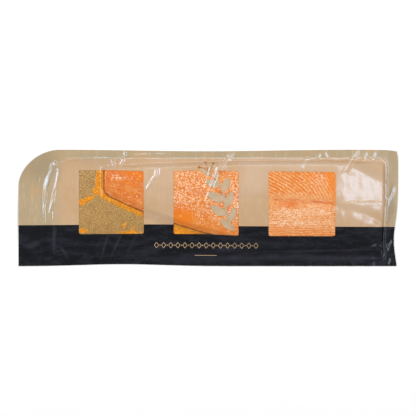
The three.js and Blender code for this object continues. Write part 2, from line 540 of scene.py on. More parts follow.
CREASES: tuple[Crease, ...] = (
    # Fan from the card's corner at the tail end
    Crease(((-249, 74), (-256, 56), (-263, 36), (-266, 8)), 2.7, 3.0, 9.0, 0.45),
    Crease(((-266, 30), (-268, -2), (-267, -27)), 0.85, 2.4, 3.3),
    Crease(((-241, 72), (-247, 42), (-252, 20), (-258, -6), (-261, -27)), 1.0, 2.8, 3.8),
    Crease(((-250, 30), (-253, 0), (-253, -26)), 0.6, 1.9, 2.4),
    Crease(((-274, 62), (-274, 10), (-273, -28), (-272, -90)), 0.35, 1.6, 1.9),
    Crease(((-250, 74), (-233, 78), (-204, 81), (-167, 82), (-157, 80)), 0.9, 2.6, 3.0),
    Crease(((-263, 84), (-250, 74), (-244, 60)), 0.9, 2.8, 3.0),
    Crease(((-262, 66), (-276, 40), (-282, 12)), 0.5, 3.6, 4.2),
    # Pinches where the film comes down over the back edge
    Crease(((-158, 81), (-153, 71), (-148, 62)), 1.5, 4.2, 4.6, 0.2),
    Crease(((-166, 77), (-161, 68), (-156, 60)), 0.8, 2.6, 2.8),
    Crease(((-135, 95), (-135, 86), (-139, 77), (-148, 63)), 1.5, 3.8, 4.2, 0.3),
    Crease(((-128, 90), (-133, 84), (-141, 89)), 0.9, 2.6, 2.4),
    Crease(((-131, 86), (-100, 87), (-58, 88)), 1.1, 2.9, 6.0),
    Crease(((-83, 76), (-84, 62), (-86, 48)), 1.2, 2.4, 3.6),
    Crease(((-77, 70), (-79, 50)), 0.6, 2.0, 2.0),
    Crease(((-87, 52), (-93, 42), (-101, 29)), 1.2, 3.4, 3.4),
    # Long pinch over the middle window
    Crease(((40, 92), (29, 74), (19, 57)), 1.6, 5.2, 4.2),
    Crease(((19, 72), (8, 44), (-5, 6)), 1.6, 5.4, 4.2),
    Crease(((7, 74), (-1, 48), (-9, 22)), 0.9, 3.4, 2.6),
    Crease(((46, 84), (40, 68)), 0.6, 2.4, 2.2),
    # Patches along the back margin towards the shoulder
    Crease(((163, 84), (155, 74), (148, 66)), 1.3, 5.6, 2.6),
    Crease(((182, 90), (176, 80)), 1.0, 4.6, 2.2),
    Crease(((188, 91), (194, 80)), 1.0, 4.2, 3.2),
    Crease(((243, 95), (236, 84), (229, 74)), 1.6, 7.5, 2.8, 0.2),
    Crease(((232, 78), (226, 68), (218, 57)), 1.8, 8.0, 3.2),
    Crease(((220, 58), (229, 57), (237, 55)), -0.9, 3.0, 3.4),
    Crease(((257, 91), (251, 80)), 0.95, 5.2, 2.2),
    Crease(((271, 90), (265, 79)), 0.95, 5.2, 2.2),
    Crease(((245, 82), (261, 83), (279, 81)), 0.6, 1.7, 2.4),
    # Shoulder end
    Crease(((290, 46), (283, 36)), 0.8, 4.0, 2.2),
    Crease(((302, 34), (298, 22), (293, 14), (290, 4)), 1.1, 5.2, 2.4),
    Crease(((305, -52), (298, -60), (294, -69)), 1.1, 5.0, 2.4),
    Crease(((299, -82), (294, -92)), 0.7, 3.4, 2.0),
    Crease(((285, -60), (286, -72), (282, -86)), 0.55, 3.2, 2.0),
    Crease(((153, -72), (219, -69), (268, -65), (279, -58), (280, -44)), 0.4, 3.0, 3.0),
    # Slack film along the belly side
    Crease(((-246, -34), (-252, -56), (-255, -72)), 0.35, 3.2, 3.6),
    Crease(((-233, -60), (-227, -80)), 0.45, 3.0, 3.0),
    Crease(((-166, -40), (-187, -76)), 0.55, 3.6, 3.6),
    Crease(((-143, -44), (-161, -74)), 0.5, 3.6, 3.6),
    Crease(((-119, -48), (-139, -82)), 0.5, 3.6, 3.6),
    Crease(((-80, -56), (-98, -84)), 0.4, 3.6, 3.6),
    Crease(((26, -52), (16, -66)), 0.5, 3.2, 2.4),
)


@dataclass(frozen=True)
class FilmForm:
    """The front film's height over the margin, the card and the fish, with its folds."""

    plan: PouchPlan = PouchPlan()
    card: CardForm = CardForm()
    fish: FishForm = FishForm()
    thickness: float = 0.6
    gap: float = 0.4
    lift: float = 2.4
    lift_start: float = 8.0
    lift_full: float = 40.0
    lift_least: float = 0.1
    lift_wave_x: float = 195.0
    lift_wave_y: float = 119.0
    rest_inset: float = 6.0
    loose: Ripples = Ripples(seed=11, count=16, shortest=9.0, longest=46.0, steepness=0.026)
    drawn: Ripples = Ripples(
        seed=5, count=12, shortest=6.0, longest=24.0, steepness=0.016, spread=0.35
    )
    puckers: Ripples = Ripples(seed=3, count=7, shortest=14.0, longest=34.0, steepness=0.042)
    puckers_rise: Point = (206.0, 222.0)
    puckers_fade: Point = (278.0, 292.0)
    deepest_ripple: float = 0.15
    held_by_fish: float = 0.7
    held_by_loin: float = 0.45
    loin_reach: Point = (100.0, 240.0)
    held_by_end: float = 0.4
    calmed_by_end: float = 0.6
    end_reach: Point = (276.0, 292.0)
    held_by_crease: float = 0.7
    crease_reach: Point = (0.1, 0.7)

    def margin(self, x: Field, y: Field) -> Field:
        """Gives the sealed margin's lower height, which waves a little away from the card.

        Args:
            x: Places along the pouch.
            y: Places across it.

        Returns:
            The height.
        """
        phase = 2 * math.pi * (x / self.lift_wave_x + y / self.lift_wave_y)
        wave = self.lift_least + (1 - self.lift_least) / 2 * (1 + np.sin(phase))
        out = self.card.outside(x, y)
        return self.gap + self.lift * wave * smooth_step(self.lift_start, self.lift_full, out)

    def underside(self, x: Field, y: Field) -> Field:
        """Gives the back film's height: on the table under the card, clear of it beyond."""
        return self.margin(x, y) * smooth_step(self.rest_inset, 0, self.card.inside(x, y))

    def tight(self, x: Field, y: Field) -> Field:
        """Gives the front film's height without its folds."""
        card = self.card.film_rise * smooth_step(-self.card.ramp, 0, self.card.inside(x, y))
        fish = self.fish.crown(x, y) * self.fish.draped(x, y)
        return self.margin(x, y) + self.thickness + card + fish

    def folds(self, x: Array, y: Array) -> Array:
        """Gives what the folds and ripples add to the tight film.

        Args:
            x: Places along the pouch.
            y: Places across it.

        Returns:
            The height added at each place.
        """
        creased = sum(crease.at(x, y) for crease in CREASES)
        by_loin, by_end = smooth_step(*self.loin_reach, x), smooth_step(*self.end_reach, x)
        free = 1 - self.held_by_fish * self.fish.draped(x, y)
        free = free * (1 - self.held_by_loin * by_loin - self.held_by_end * by_end)
        by_crease = smooth_step(*self.crease_reach, np.abs(creased))
        free = free * (1 - self.held_by_crease * by_crease)
        puckered = smooth_step(*self.puckers_rise, x) * (1 - smooth_step(*self.puckers_fade, x))
        ripple = self.loose.at(x, y) * free
        ripple = ripple + self.drawn.at(x, y) * (1 - self.calmed_by_end * by_end)
        ripple = ripple + self.puckers.at(x, y) * puckered
        return np.maximum(ripple + creased, np.minimum(creased, 0) - self.deepest_ripple)

    def under(self, x: Array, y: Array, clearance: float) -> Array:
        """Gives the height that what lies under the film can reach: its ridges stay empty.

        Args:
            x: Places along the pouch.
            y: Places across it.
            clearance: Distance to the film, square to it.

        Returns:
            The height at each place.
        """
        half = 0.5
        slope_x = self.tight(x + half, y) - self.tight(x - half, y)
        slope_y = self.tight(x, y + half) - self.tight(x, y - half)
        steep = np.sqrt(1 + slope_x**2 + slope_y**2)
        return self.tight(x, y) + np.minimum(self.folds(x, y), 0) - clearance * steep

    def height(self, x: Array, y: Array) -> Array:
        """Gives the front film's height with its folds."""
        return self.tight(x, y) + self.folds(x, y)


# Modelling and shading helpers


class Bench:
    """Blender's modelling operators, each on one piece at a time."""

    smooth_below: float = math.radians(50)

    @staticmethod
    def clear() -> None:
        """Deselects everything."""
        bpy.ops.object.select_all(action="DESELECT")

    @staticmethod
    def take(piece: Piece) -> None:
        """Selects one piece alone and makes it the active one.

        Args:
            piece: The piece.
        """
        Bench.clear()
        piece.select_set(True)
        bpy.context.view_layer.objects.active = piece

    @staticmethod
    def named(name: str) -> Piece:
        """Names the newly added piece and its mesh.

        Args:
            name: The name.

        Returns:
            The piece.
        """
        piece = bpy.context.active_object
        piece.name = piece.data.name = name
        return piece

    @staticmethod
    def grid(name: str, x: Array, y: Array, z: Array) -> Piece:
        """Adds a grid and lays its vertices at given places.

        Args:
            name: Name of the piece.
            x: Places along the pouch in millimetres, one row of the array per column of the grid.
            y: Places across it.
            z: Heights.

        Returns:
            The piece, an open sheet that faces up.
        """
        columns, rows = x.shape
        Bench.clear()
        bpy.ops.mesh.primitive_grid_add(x_subdivisions=columns - 1, y_subdivisions=rows - 1, size=1)
        piece = Bench.named(name)
        shares = Bench.read(piece.data.vertices, "co") + 0.5
        column = np.rint(shares[:, 0] * (columns - 1)).astype(int)
        row = np.rint(shares[:, 1] * (rows - 1)).astype(int)
        Bench.place(piece, np.stack([values[column, row] for values in (x, y, z)], axis=1))
        return piece

    @staticmethod
    def read(items: Sequence, name: str) -> Array:
        """Reads a vector from each vertex or face of a mesh.

        Args:
            items: The vertices or faces.
            name: Name of the vector.

        Returns:
            The vectors, one row each.
        """
        values = np.empty(len(items) * 3, np.float32)
        items.foreach_get(name, values)
        return values.reshape(-1, 3)

    @staticmethod
    def places(piece: Piece) -> Array:
        """Gives the places of a piece's vertices in millimetres, one row each."""
        return Bench.read(piece.data.vertices, "co") / MM

    @staticmethod
    def place(piece: Piece, where: Array) -> None:
        """Moves a piece's vertices to places in millimetres."""
        piece.data.vertices.foreach_set("co", (where * MM).astype(np.float32).ravel())
        piece.data.update()

    @staticmethod
    def thicken(piece: Piece, bottom: Callable[[Array, Array], Field]) -> None:
        """Extrudes an open sheet downwards into a closed body.

        Args:
            piece: The sheet.
            bottom: Gives the underside's height at a place.
        """
        before = len(piece.data.vertices)
        Bench.take(piece)
        bpy.ops.object.mode_set(mode="EDIT")
        bpy.ops.mesh.select_all(action="SELECT")
        bpy.ops.mesh.extrude_region_move(TRANSFORM_OT_translate={"value": (0, 0, -MM)})
        bpy.ops.object.mode_set(mode="OBJECT")
        where = Bench.places(piece)
        lower = np.arange(len(where)) >= before
        where[lower, 2] = bottom(*where[lower, :2].T)
        Bench.place(piece, where)
        Bench.face_out(piece)

    @staticmethod
    def face_out(piece: Piece) -> None:
        """Turns a closed piece's faces outwards.

        Args:
            piece: The piece.
        """
        Bench.take(piece)
        bpy.ops.object.mode_set(mode="EDIT")
        bpy.ops.mesh.select_all(action="SELECT")
        bpy.ops.mesh.normals_make_consistent(inside=False)
        bpy.ops.object.mode_set(mode="OBJECT")

    @staticmethod
    def pick_none(piece: Piece, kind: str) -> None:
        """Takes a piece for selection by edge or by face, with nothing selected yet.

        Args:
            piece: The piece, which is left in object mode.
            kind: EDGE or FACE.
        """
        Bench.take(piece)
        bpy.ops.object.mode_set(mode="EDIT")
        bpy.ops.mesh.select_mode(type=kind)
        bpy.ops.mesh.select_all(action="DESELECT")
        bpy.ops.object.mode_set(mode="OBJECT")

    @staticmethod
    def pick_faces(piece: Piece, chosen: Array) -> None:
        """Selects faces and nothing else, and leaves the piece in edit mode.

        Args:
            piece: The piece.
            chosen: Says for each face whether it is selected.
        """
        Bench.pick_none(piece, "FACE")
        piece.data.polygons.foreach_set("select", chosen.astype(bool))
        bpy.ops.object.mode_set(mode="EDIT")

    @staticmethod
    def drop_faces(piece: Piece, chosen: Array) -> None:
        """Deletes faces, with the loose edges that they leave.

        Args:
            piece: The piece.
            chosen: Says for each face whether it goes.
        """
        Bench.pick_faces(piece, chosen)
        bpy.ops.mesh.delete(type="FACE")
        bpy.ops.object.mode_set(mode="OBJECT")

    @staticmethod
    def join_flat(piece: Piece, chosen: Array) -> None:
        """Replaces faces that lie in one plane by a single face.

        Args:
            piece: The piece.
            chosen: Says for each face whether it is one of them.
        """
        Bench.pick_faces(piece, chosen)
        bpy.ops.mesh.delete(type="FACE")
        bpy.ops.mesh.select_mode(type="EDGE")
        bpy.ops.mesh.select_all(action="DESELECT")
        bpy.ops.mesh.select_non_manifold(extend=False)
        bpy.ops.mesh.edge_face_add()
        bpy.ops.object.mode_set(mode="OBJECT")
        Bench.face_out(piece)

    @staticmethod
    def face_centres(piece: Piece) -> Array:
        """Gives the centres of a piece's faces in millimetres, one row each."""
        return Bench.read(piece.data.polygons, "center") / MM

    @staticmethod
    def note(piece: Piece, name: str, values: Array) -> None:
        """Writes a number for each vertex, which the piece's material reads by name."""
        layer = piece.data.attributes.new(name, "FLOAT", "POINT")
        layer.data.foreach_set("value", np.asarray(values, np.float32))

    @staticmethod
    def finish(piece: Piece, slot: Slot, materials: Sequence[bpy.types.Material]) -> None:
        """Smooths a piece's shading, dresses it and sets it on its body.

        Args:
            piece: The piece.
            slot: The record's material slot; not used here.
            materials: Its materials, in the order of its faces' indices.
        """
        Bench.take(piece)
        bpy.ops.object.shade_smooth_by_angle(angle=Bench.smooth_below)
        for material in materials:
            piece.data.materials.append(material)
        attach(piece, BODY)


class NodeSheet:
    """A node tree under construction, with short ways to add and join its nodes."""

    def __init__(self, tree: bpy.types.NodeTree) -> None:
        """Takes a tree and empties it."""
        tree.nodes.clear()
        self.tree = tree

    def add(self, kind: str, feeds: dict | None = None, **settings: object) -> bpy.types.Node:
        """Adds a node.

        Args:
            kind: The node's type.
            feeds: A value or an output socket for each named input.
            settings: The node's own settings.

        Returns:
            The node.
        """
        node = self.tree.nodes.new(kind)
        for name, value in settings.items():
            setattr(node, name, value)
        for name, value in (feeds or {}).items():
            self.feed(node.inputs[name], value)
        return node

    def feed(self, socket: Socket, value: object) -> None:
        """Links an output socket to an input, or sets the input's value.

        Args:
            socket: The input.
            value: The output socket or the value.
        """
        if isinstance(value, Socket):
            self.tree.links.new(value, socket)
        elif socket.type == "RGBA" and len(value) == 3:
            socket.default_value = (*value, 1)
        else:
            socket.default_value = value

    def sum(self, kind: str, *values: object, clamp: bool = False) -> Socket:
        """Adds a Math node.

        Args:
            kind: Its operation.
            values: Its inputs, as numbers or sockets.
            clamp: Whether the result is kept between 0 and 1.

        Returns:
            Its result.
        """
        node = self.add("ShaderNodeMath", operation=kind, use_clamp=clamp)
        for socket, value in zip(node.inputs, values):
            self.feed(socket, value)
        return node.outputs[0]

    def times(self, a: object, b: object) -> Socket:
        """Multiplies two numbers."""
        return self.sum("MULTIPLY", a, b)

    def mix(self, share: object, a: object, b: object) -> Socket:
        """Mixes two colours.

        Args:
            share: The second colour's share.
            a: The first colour.
            b: The second colour.

        Returns:
            The mixed colour.
        """
        node = self.add("ShaderNodeMix", data_type="RGBA")
        colour_a, colour_b, mixed = 6, 7, 2
        for place, value in ((0, share), (colour_a, a), (colour_b, b)):
            self.feed(node.inputs[place], value)
        return node.outputs[mixed]

    def rise(self, value: object, low: float, high: float) -> Socket:
        """Maps a value smoothly to a share.

        Args:
            value: The value.
            low: Where the share is 0; it may be the higher of the two.
            high: Where it is 1.

        Returns:
            The share.
        """
        feeds = {"Value": value, "From Min": min(low, high), "From Max": max(low, high)}
        feeds |= {"To Min": 0.0, "To Max": 1.0} if low < high else {"To Min": 1.0, "To Max": 0.0}
        return self.add("ShaderNodeMapRange", feeds, interpolation_type="SMOOTHSTEP").outputs[0]

    def where(self, pace: Spot = (1, 1, 1), turn: float = 0.0) -> Socket:
        """Gives Object coordinates in millimetres.

        Args:
            pace: How fast a pattern runs along each axis: less than 1 draws it out.
            turn: How far the pattern is turned about Z, in degrees.

        Returns:
            The coordinates.
        """
        place = self.add("ShaderNodeTexCoord").outputs["Object"]
        scale = tuple(MM / share for share in pace)
        feeds = {"Vector": place, "Rotation": (0, 0, math.radians(turn)), "Scale": scale}
        return self.add("ShaderNodeMapping", feeds, vector_type="TEXTURE").outputs[0]

    def noise(self, place: object, size: float, detail: float = 2.0) -> Socket:
        """Adds soft noise.

        Args:
            place: Coordinates in millimetres.
            size: Size of its spots.
            detail: How many finer layers it has.

        Returns:
            A value round 0.5.
        """
        feeds = {"Vector": place, "Scale": 1 / size, "Detail": detail}
        return self.add("ShaderNodeTexNoise", feeds).outputs[0]

    def wobble(self, place: object, size: float, reach: float) -> Socket:
        """Gives soft noise round 0, which reaches about half of its reach to either side."""
        return self.times(self.sum("SUBTRACT", self.noise(place, size), 0.5), reach)

    def note(self, name: str) -> Socket:
        """Reads the number that the piece's vertices carry under a name."""
        return self.add("ShaderNodeAttribute", attribute_name=name).outputs["Fac"]

    def bump(self, height: object, depth: float) -> Socket:
        """Turns a height into a normal; depth is in millimetres."""
        return self.add("ShaderNodeBump", {"Height": height, "Distance": depth * MM}).outputs[0]


class Group(Enum):
    """Shader node groups that several materials share."""

    MOTTLE = "mottle"
    WRINKLE = "wrinkle"


class Effects:
    """Builds each shared node group once and places it in materials."""

    built: dict[Group, bpy.types.NodeTree] = {}

    @classmethod
    def _tree(cls, group: Group, inputs: Sequence[str], output: str) -> NodeSheet:
        """Starts a group.

        Args:
            group: Which group.
            inputs: Names of its number inputs, which follow its vector.
            output: Name of its output.

        Returns:
            The group's node tree.
        """
        tree = bpy.data.node_groups.new(group.value, "ShaderNodeTree")
        tree.interface.new_socket("Vector", in_out="INPUT", socket_type="NodeSocketVector")
        for name in inputs:
            tree.interface.new_socket(name, in_out="INPUT", socket_type="NodeSocketFloat")
        tree.interface.new_socket(output, in_out="OUTPUT", socket_type="NodeSocketFloat")
        cls.built[group] = tree
        return NodeSheet(tree)

    @classmethod
    def _mottle(cls) -> None:
        """Builds patches of two sizes, as a mask with soft edges."""
        finer, fine_share, detail = 3.7, 0.35, 3.0
        sheet = cls._tree(Group.MOTTLE, ("Size", "From", "To"), "Mask")
        given = sheet.add("NodeGroupInput").outputs
        scale = sheet.sum("DIVIDE", 1.0, given["Size"])
        feeds = {"Vector": given["Vector"], "Scale": scale, "Detail": detail}
        broad = sheet.add("ShaderNodeTexNoise", feeds).outputs[0]
        feeds = {"Vector": given["Vector"], "Scale": sheet.times(scale, finer)}
        fine = sheet.add("ShaderNodeTexNoise", feeds).outputs[0]
        both = sheet.sum("MULTIPLY_ADD", fine, fine_share, sheet.times(broad, 1 - fine_share))
        feeds = {"Value": both, "From Min": given["From"], "From Max": given["To"]}
        mask = sheet.add("ShaderNodeMapRange", feeds, interpolation_type="SMOOTHSTEP").outputs[0]
        sheet.feed(sheet.add("NodeGroupOutput").inputs["Mask"], mask)

    @classmethod
    def _wrinkle(cls) -> None:
        """Builds fine wrinkles, as a height from 0 to 1 with sharp ridges."""
        steepness, twist = 5.0, 1.0
        sheet = cls._tree(Group.WRINKLE, ("Size",), "Height")
        given = sheet.add("NodeGroupInput").outputs
        scale = sheet.sum("DIVIDE", 1.0, given["Size"])
        feeds = {"Vector": given["Vector"], "Scale": scale, "Distortion": twist}
        wave = sheet.sum("SUBTRACT", sheet.add("ShaderNodeTexNoise", feeds).outputs[0], 0.5)
        away = sheet.times(sheet.sum("ABSOLUTE", wave), steepness)
        ridge = sheet.sum("SUBTRACT", 1.0, away, clamp=True)
        sheet.feed(sheet.add("NodeGroupOutput").inputs["Height"], ridge)

    @classmethod
    def use(cls, sheet: NodeSheet, group: Group, **values: object) -> Socket:
        """Places a group in a material.

        Args:
            sheet: The material's node tree.
            group: Which group.
            values: A value or socket for each of its inputs.

        Returns:
            The group's output.
        """
        if group not in cls.built:
            {Group.MOTTLE: cls._mottle, Group.WRINKLE: cls._wrinkle}[group]()
        node = sheet.add("ShaderNodeGroup", node_tree=cls.built[group])
        for name, value in values.items():
            sheet.feed(node.inputs[name], value)
        return node.outputs[0]


@dataclass(frozen=True)
class Cloud:
    """Soft spots: their size, the noise where they start and are full, and their share.

    The pace draws them out, and the turn is in degrees, both as in NodeSheet.where.
    """

    size: float
    start: float
    full: float
    share: float = 1.0
    detail: float = 2.0
    pace: Spot = (1.0, 1.0, 1.0)
    turn: float = 0.0

    def mask(self, sheet: NodeSheet) -> Socket:
        """Gives the spots as a mask."""
        spots = sheet.noise(sheet.where(self.pace, self.turn), self.size, self.detail)
        return sheet.rise(spots, self.start, self.full)

    def lay(self, sheet: NodeSheet, base: object, over: object) -> Socket:
        """Lays a colour over another in spots.

        Args:
            sheet: The material's node tree.
            base: The colour below.
            over: The colour of the spots.

        Returns:
            The mixed colour.
        """
        return sheet.mix(sheet.times(self.mask(sheet), self.share), base, over)


@dataclass(frozen=True)
class Mottle(Cloud):
    """Uneven spots of two sizes, by the shared node group."""

    def mask(self, sheet: NodeSheet) -> Socket:
        """Gives the spots as a mask."""
        values = {"Size": self.size, "From": self.start, "To": self.full}
        return Effects.use(sheet, Group.MOTTLE, Vector=sheet.where(self.pace, self.turn), **values)


@dataclass(frozen=True)
class Wrinkles:
    """Fine wrinkles in film: their size, their depth, and how fast they run along each axis."""

    size: float
    depth: float
    pace: Spot = (1.0, 1.0, 1.0)

    def normal(self, sheet: NodeSheet) -> Socket:
        """Gives the wrinkled surface's normal."""
        place = sheet.where(self.pace)
        return sheet.bump(Effects.use(sheet, Group.WRINKLE, Vector=place, Size=self.size), self.depth)


# Finishes


@dataclass(frozen=True)
class Finish:
    """A finish: a name and the shader's plain values, with colour and relief by its own nodes."""

    name: str
    roughness: float = 0.5
    metallic: float = 0.0
    ior: float = 1.45
    gloss: Colour = (1.0, 1.0, 1.0)

    def dress(self, sheet: NodeSheet) -> dict[str, object]:
        """Gives what feeds the shader's inputs; each finish has its own."""
        raise NotImplementedError

    def material(self) -> bpy.types.Material:
        """Makes the material.

        Returns:
            The material.
        """
        made = bpy.data.materials.new(self.name)
        made.use_nodes = True
        sheet = NodeSheet(made.node_tree)
        values = {
            "Roughness": self.roughness,
            "Metallic": self.metallic,
            "IOR": self.ior,
            "Specular Tint": self.gloss,
        }
        shader = sheet.add("ShaderNodeBsdfPrincipled", values | self.dress(sheet))
        sheet.add("ShaderNodeOutputMaterial", {"Surface": shader.outputs[0]})
        return made


@dataclass(frozen=True)
class FilmPrint(Finish):
    """Print under clear film, a little duller and glossier from place to place."""

    gloss: Colour = (0.5, 0.72, 1.0)
    smear_size: float = 12.0
    smear: float = 0.1

    def smeared(self, sheet: NodeSheet) -> Socket:
        """Gives the uneven roughness."""
        smears = sheet.noise(sheet.where(), self.smear_size)
        return sheet.sum("MULTIPLY_ADD", smears, self.smear, self.roughness - self.smear / 2)


@dataclass(frozen=True)
class KraftPrint(FilmPrint):
    """Kraft beige print, yellower on the seal margin than over the card."""

    over_card: Colour = paint(200, 163, 123)
    margin: Colour = paint(177, 156, 119)
    # Painted shade tone.
    shaded: Colour = paint(160, 138, 104)
    # Painted highlight tone.
    painted_highlight: Colour = paint(214, 190, 166)
    warm: Colour = paint(196, 158, 110)
    pale: Colour = paint(210, 184, 156)
    fields: Mottle = Mottle(46.0, 0.47, 0.62, 0.6)
    streaks: Mottle = Mottle(5.0, 0.5, 0.66, 0.3, pace=(1.0, 0.16, 1.0))
    matt: float = 0.07
    wrinkles: Wrinkles = Wrinkles(9.0, 0.035, (1.0, 0.45, 1.0))

    def dress(self, sheet: NodeSheet) -> dict[str, object]:
        """Mixes the two base tones with warm fields, pale streaks, painted shade and painted
        highlights.

        Args:
            sheet: The material's node tree.

        Returns:
            What feeds the shader's inputs.
        """
        base = sheet.mix(sheet.note("over_card"), self.margin, self.over_card)
        base = self.fields.lay(sheet, base, self.warm)
        base = self.streaks.lay(sheet, base, self.pale)
        # Painted shade, then painted highlights and reflections, where their patches lie.
        base = sheet.mix(sheet.note("shade"), base, self.shaded)
        base = sheet.mix(sheet.note("painted_highlight_mask"), base, self.painted_highlight)
        rough = sheet.sum("MULTIPLY_ADD", sheet.note("matt"), self.matt, self.smeared(sheet))
        return {"Base Color": base, "Roughness": rough, "Normal": self.wrinkles.normal(sheet)}


@dataclass(frozen=True)
class BlackPrint(FilmPrint):
    """Black print, with a faint painted blue sheen and painted highlight streaks."""

    ink: Colour = paint(5, 5, 6)
    # Painted sheen: bluish clouds drawn out along the band; painted highlight streaks follow.
    painted_blue_sheen: Colour = paint(30, 29, 37)
    painted_highlight_streak: Colour = paint(54, 53, 63)
    clouds: Mottle = Mottle(9.0, 0.42, 0.66, pace=(0.3, 1.0, 1.0))
    wrinkles: Wrinkles = Wrinkles(10.0, 0.025, (0.7, 0.5, 1.0))

    def dress(self, sheet: NodeSheet) -> dict[str, object]:
        """Lays a cloudy painted sheen and the painted highlight streaks over the ink.

        Args:
            sheet: The material's node tree.

        Returns:
            What feeds the shader's inputs.
        """
        base = self.clouds.lay(sheet, self.ink, self.painted_blue_sheen)
        base = sheet.mix(sheet.note("painted_highlight_mask"), base, self.painted_highlight_streak)
        rough = self.smeared(sheet)
        return {"Base Color": base, "Roughness": rough, "Normal": self.wrinkles.normal(sheet)}


@dataclass(frozen=True)
class ClearFilm:
    """Clear glossy film, seen through but for its reflections."""

    name: str = "clear_film"
    ior: float = 1.5
    roughness: float = 0.15
    gloss: Colour = (0.9, 0.92, 0.82)
    wrinkles: Wrinkles = Wrinkles(7.0, 0.03)

    def material(self) -> bpy.types.Material:
        """Mixes plain transparency and gloss by how steeply the film is seen.

        The film is thin, so its inner side reflects as its outer side does.

        Returns:
            The material.
        """
        made = bpy.data.materials.new(self.name)
        made.use_nodes = True
        sheet = NodeSheet(made.node_tree)
        normal = self.wrinkles.normal(sheet)
        clear = sheet.add("ShaderNodeBsdfTransparent")
        feeds = {"Color": self.gloss, "Roughness": self.roughness, "Normal": normal}
        gloss = sheet.add("ShaderNodeBsdfGlossy", feeds)
        inner = sheet.add("ShaderNodeNewGeometry").outputs["Backfacing"]
        ior = sheet.sum("MULTIPLY_ADD", inner, 1 / self.ior - self.ior, self.ior)
        share = sheet.add("ShaderNodeFresnel", {"IOR": ior, "Normal": normal}).outputs[0]
        mixed = sheet.add("ShaderNodeMixShader", {0: share, 1: clear.outputs[0], 2: gloss.outputs[0]})
        sheet.add("ShaderNodeOutputMaterial", {"Surface": mixed.outputs[0]})
        return made


@dataclass(frozen=True)
class GoldCard(Finish):
    """Metallic gold card with a fine embossed grain, and painted shade that darkens it towards the
    back side.
    """

    gold: Colour = paint(166, 123, 57)
    dark: Colour = paint(134, 92, 34)
    light: Colour = paint(206, 168, 104)
    # Painted shade: the gold darkens towards the back side.
    back: Colour = paint(134, 96, 38)
    back_shade_from: float = -20.0
    back_shade_to: float = 70.0
    back_shade_share: float = 0.7
    clouds: Mottle = Mottle(14.0, 0.44, 0.62, 0.4)
    crumbs: Mottle = Mottle(1.9, 0.48, 0.6, 0.8, pace=(1.3, 0.7, 1.0))
    grain_size: float = 1.3
    grain_depth: float = 0.2

    def dress(self, sheet: NodeSheet) -> dict[str, object]:
        """Varies the gold in soft clouds and small crumbs, darkens it towards the back side as painted
        shade, and raises grain.

        Args:
            sheet: The material's node tree.

        Returns:
            What feeds the shader's inputs.
        """
        place = sheet.where()
        across = sheet.add("ShaderNodeSeparateXYZ", {"Vector": place}).outputs["Y"]
        # Painted shade, growing towards the back side.
        far = sheet.times(sheet.rise(across, self.back_shade_from, self.back_shade_to), self.back_shade_share)
        base = self.clouds.lay(sheet, self.gold, self.dark)
        base = sheet.mix(far, base, self.back)
        base = self.crumbs.lay(sheet, base, self.light)
        grain = sheet.noise(place, self.grain_size, detail=1.0)
        return {"Base Color": base, "Normal": sheet.bump(grain, self.grain_depth)}


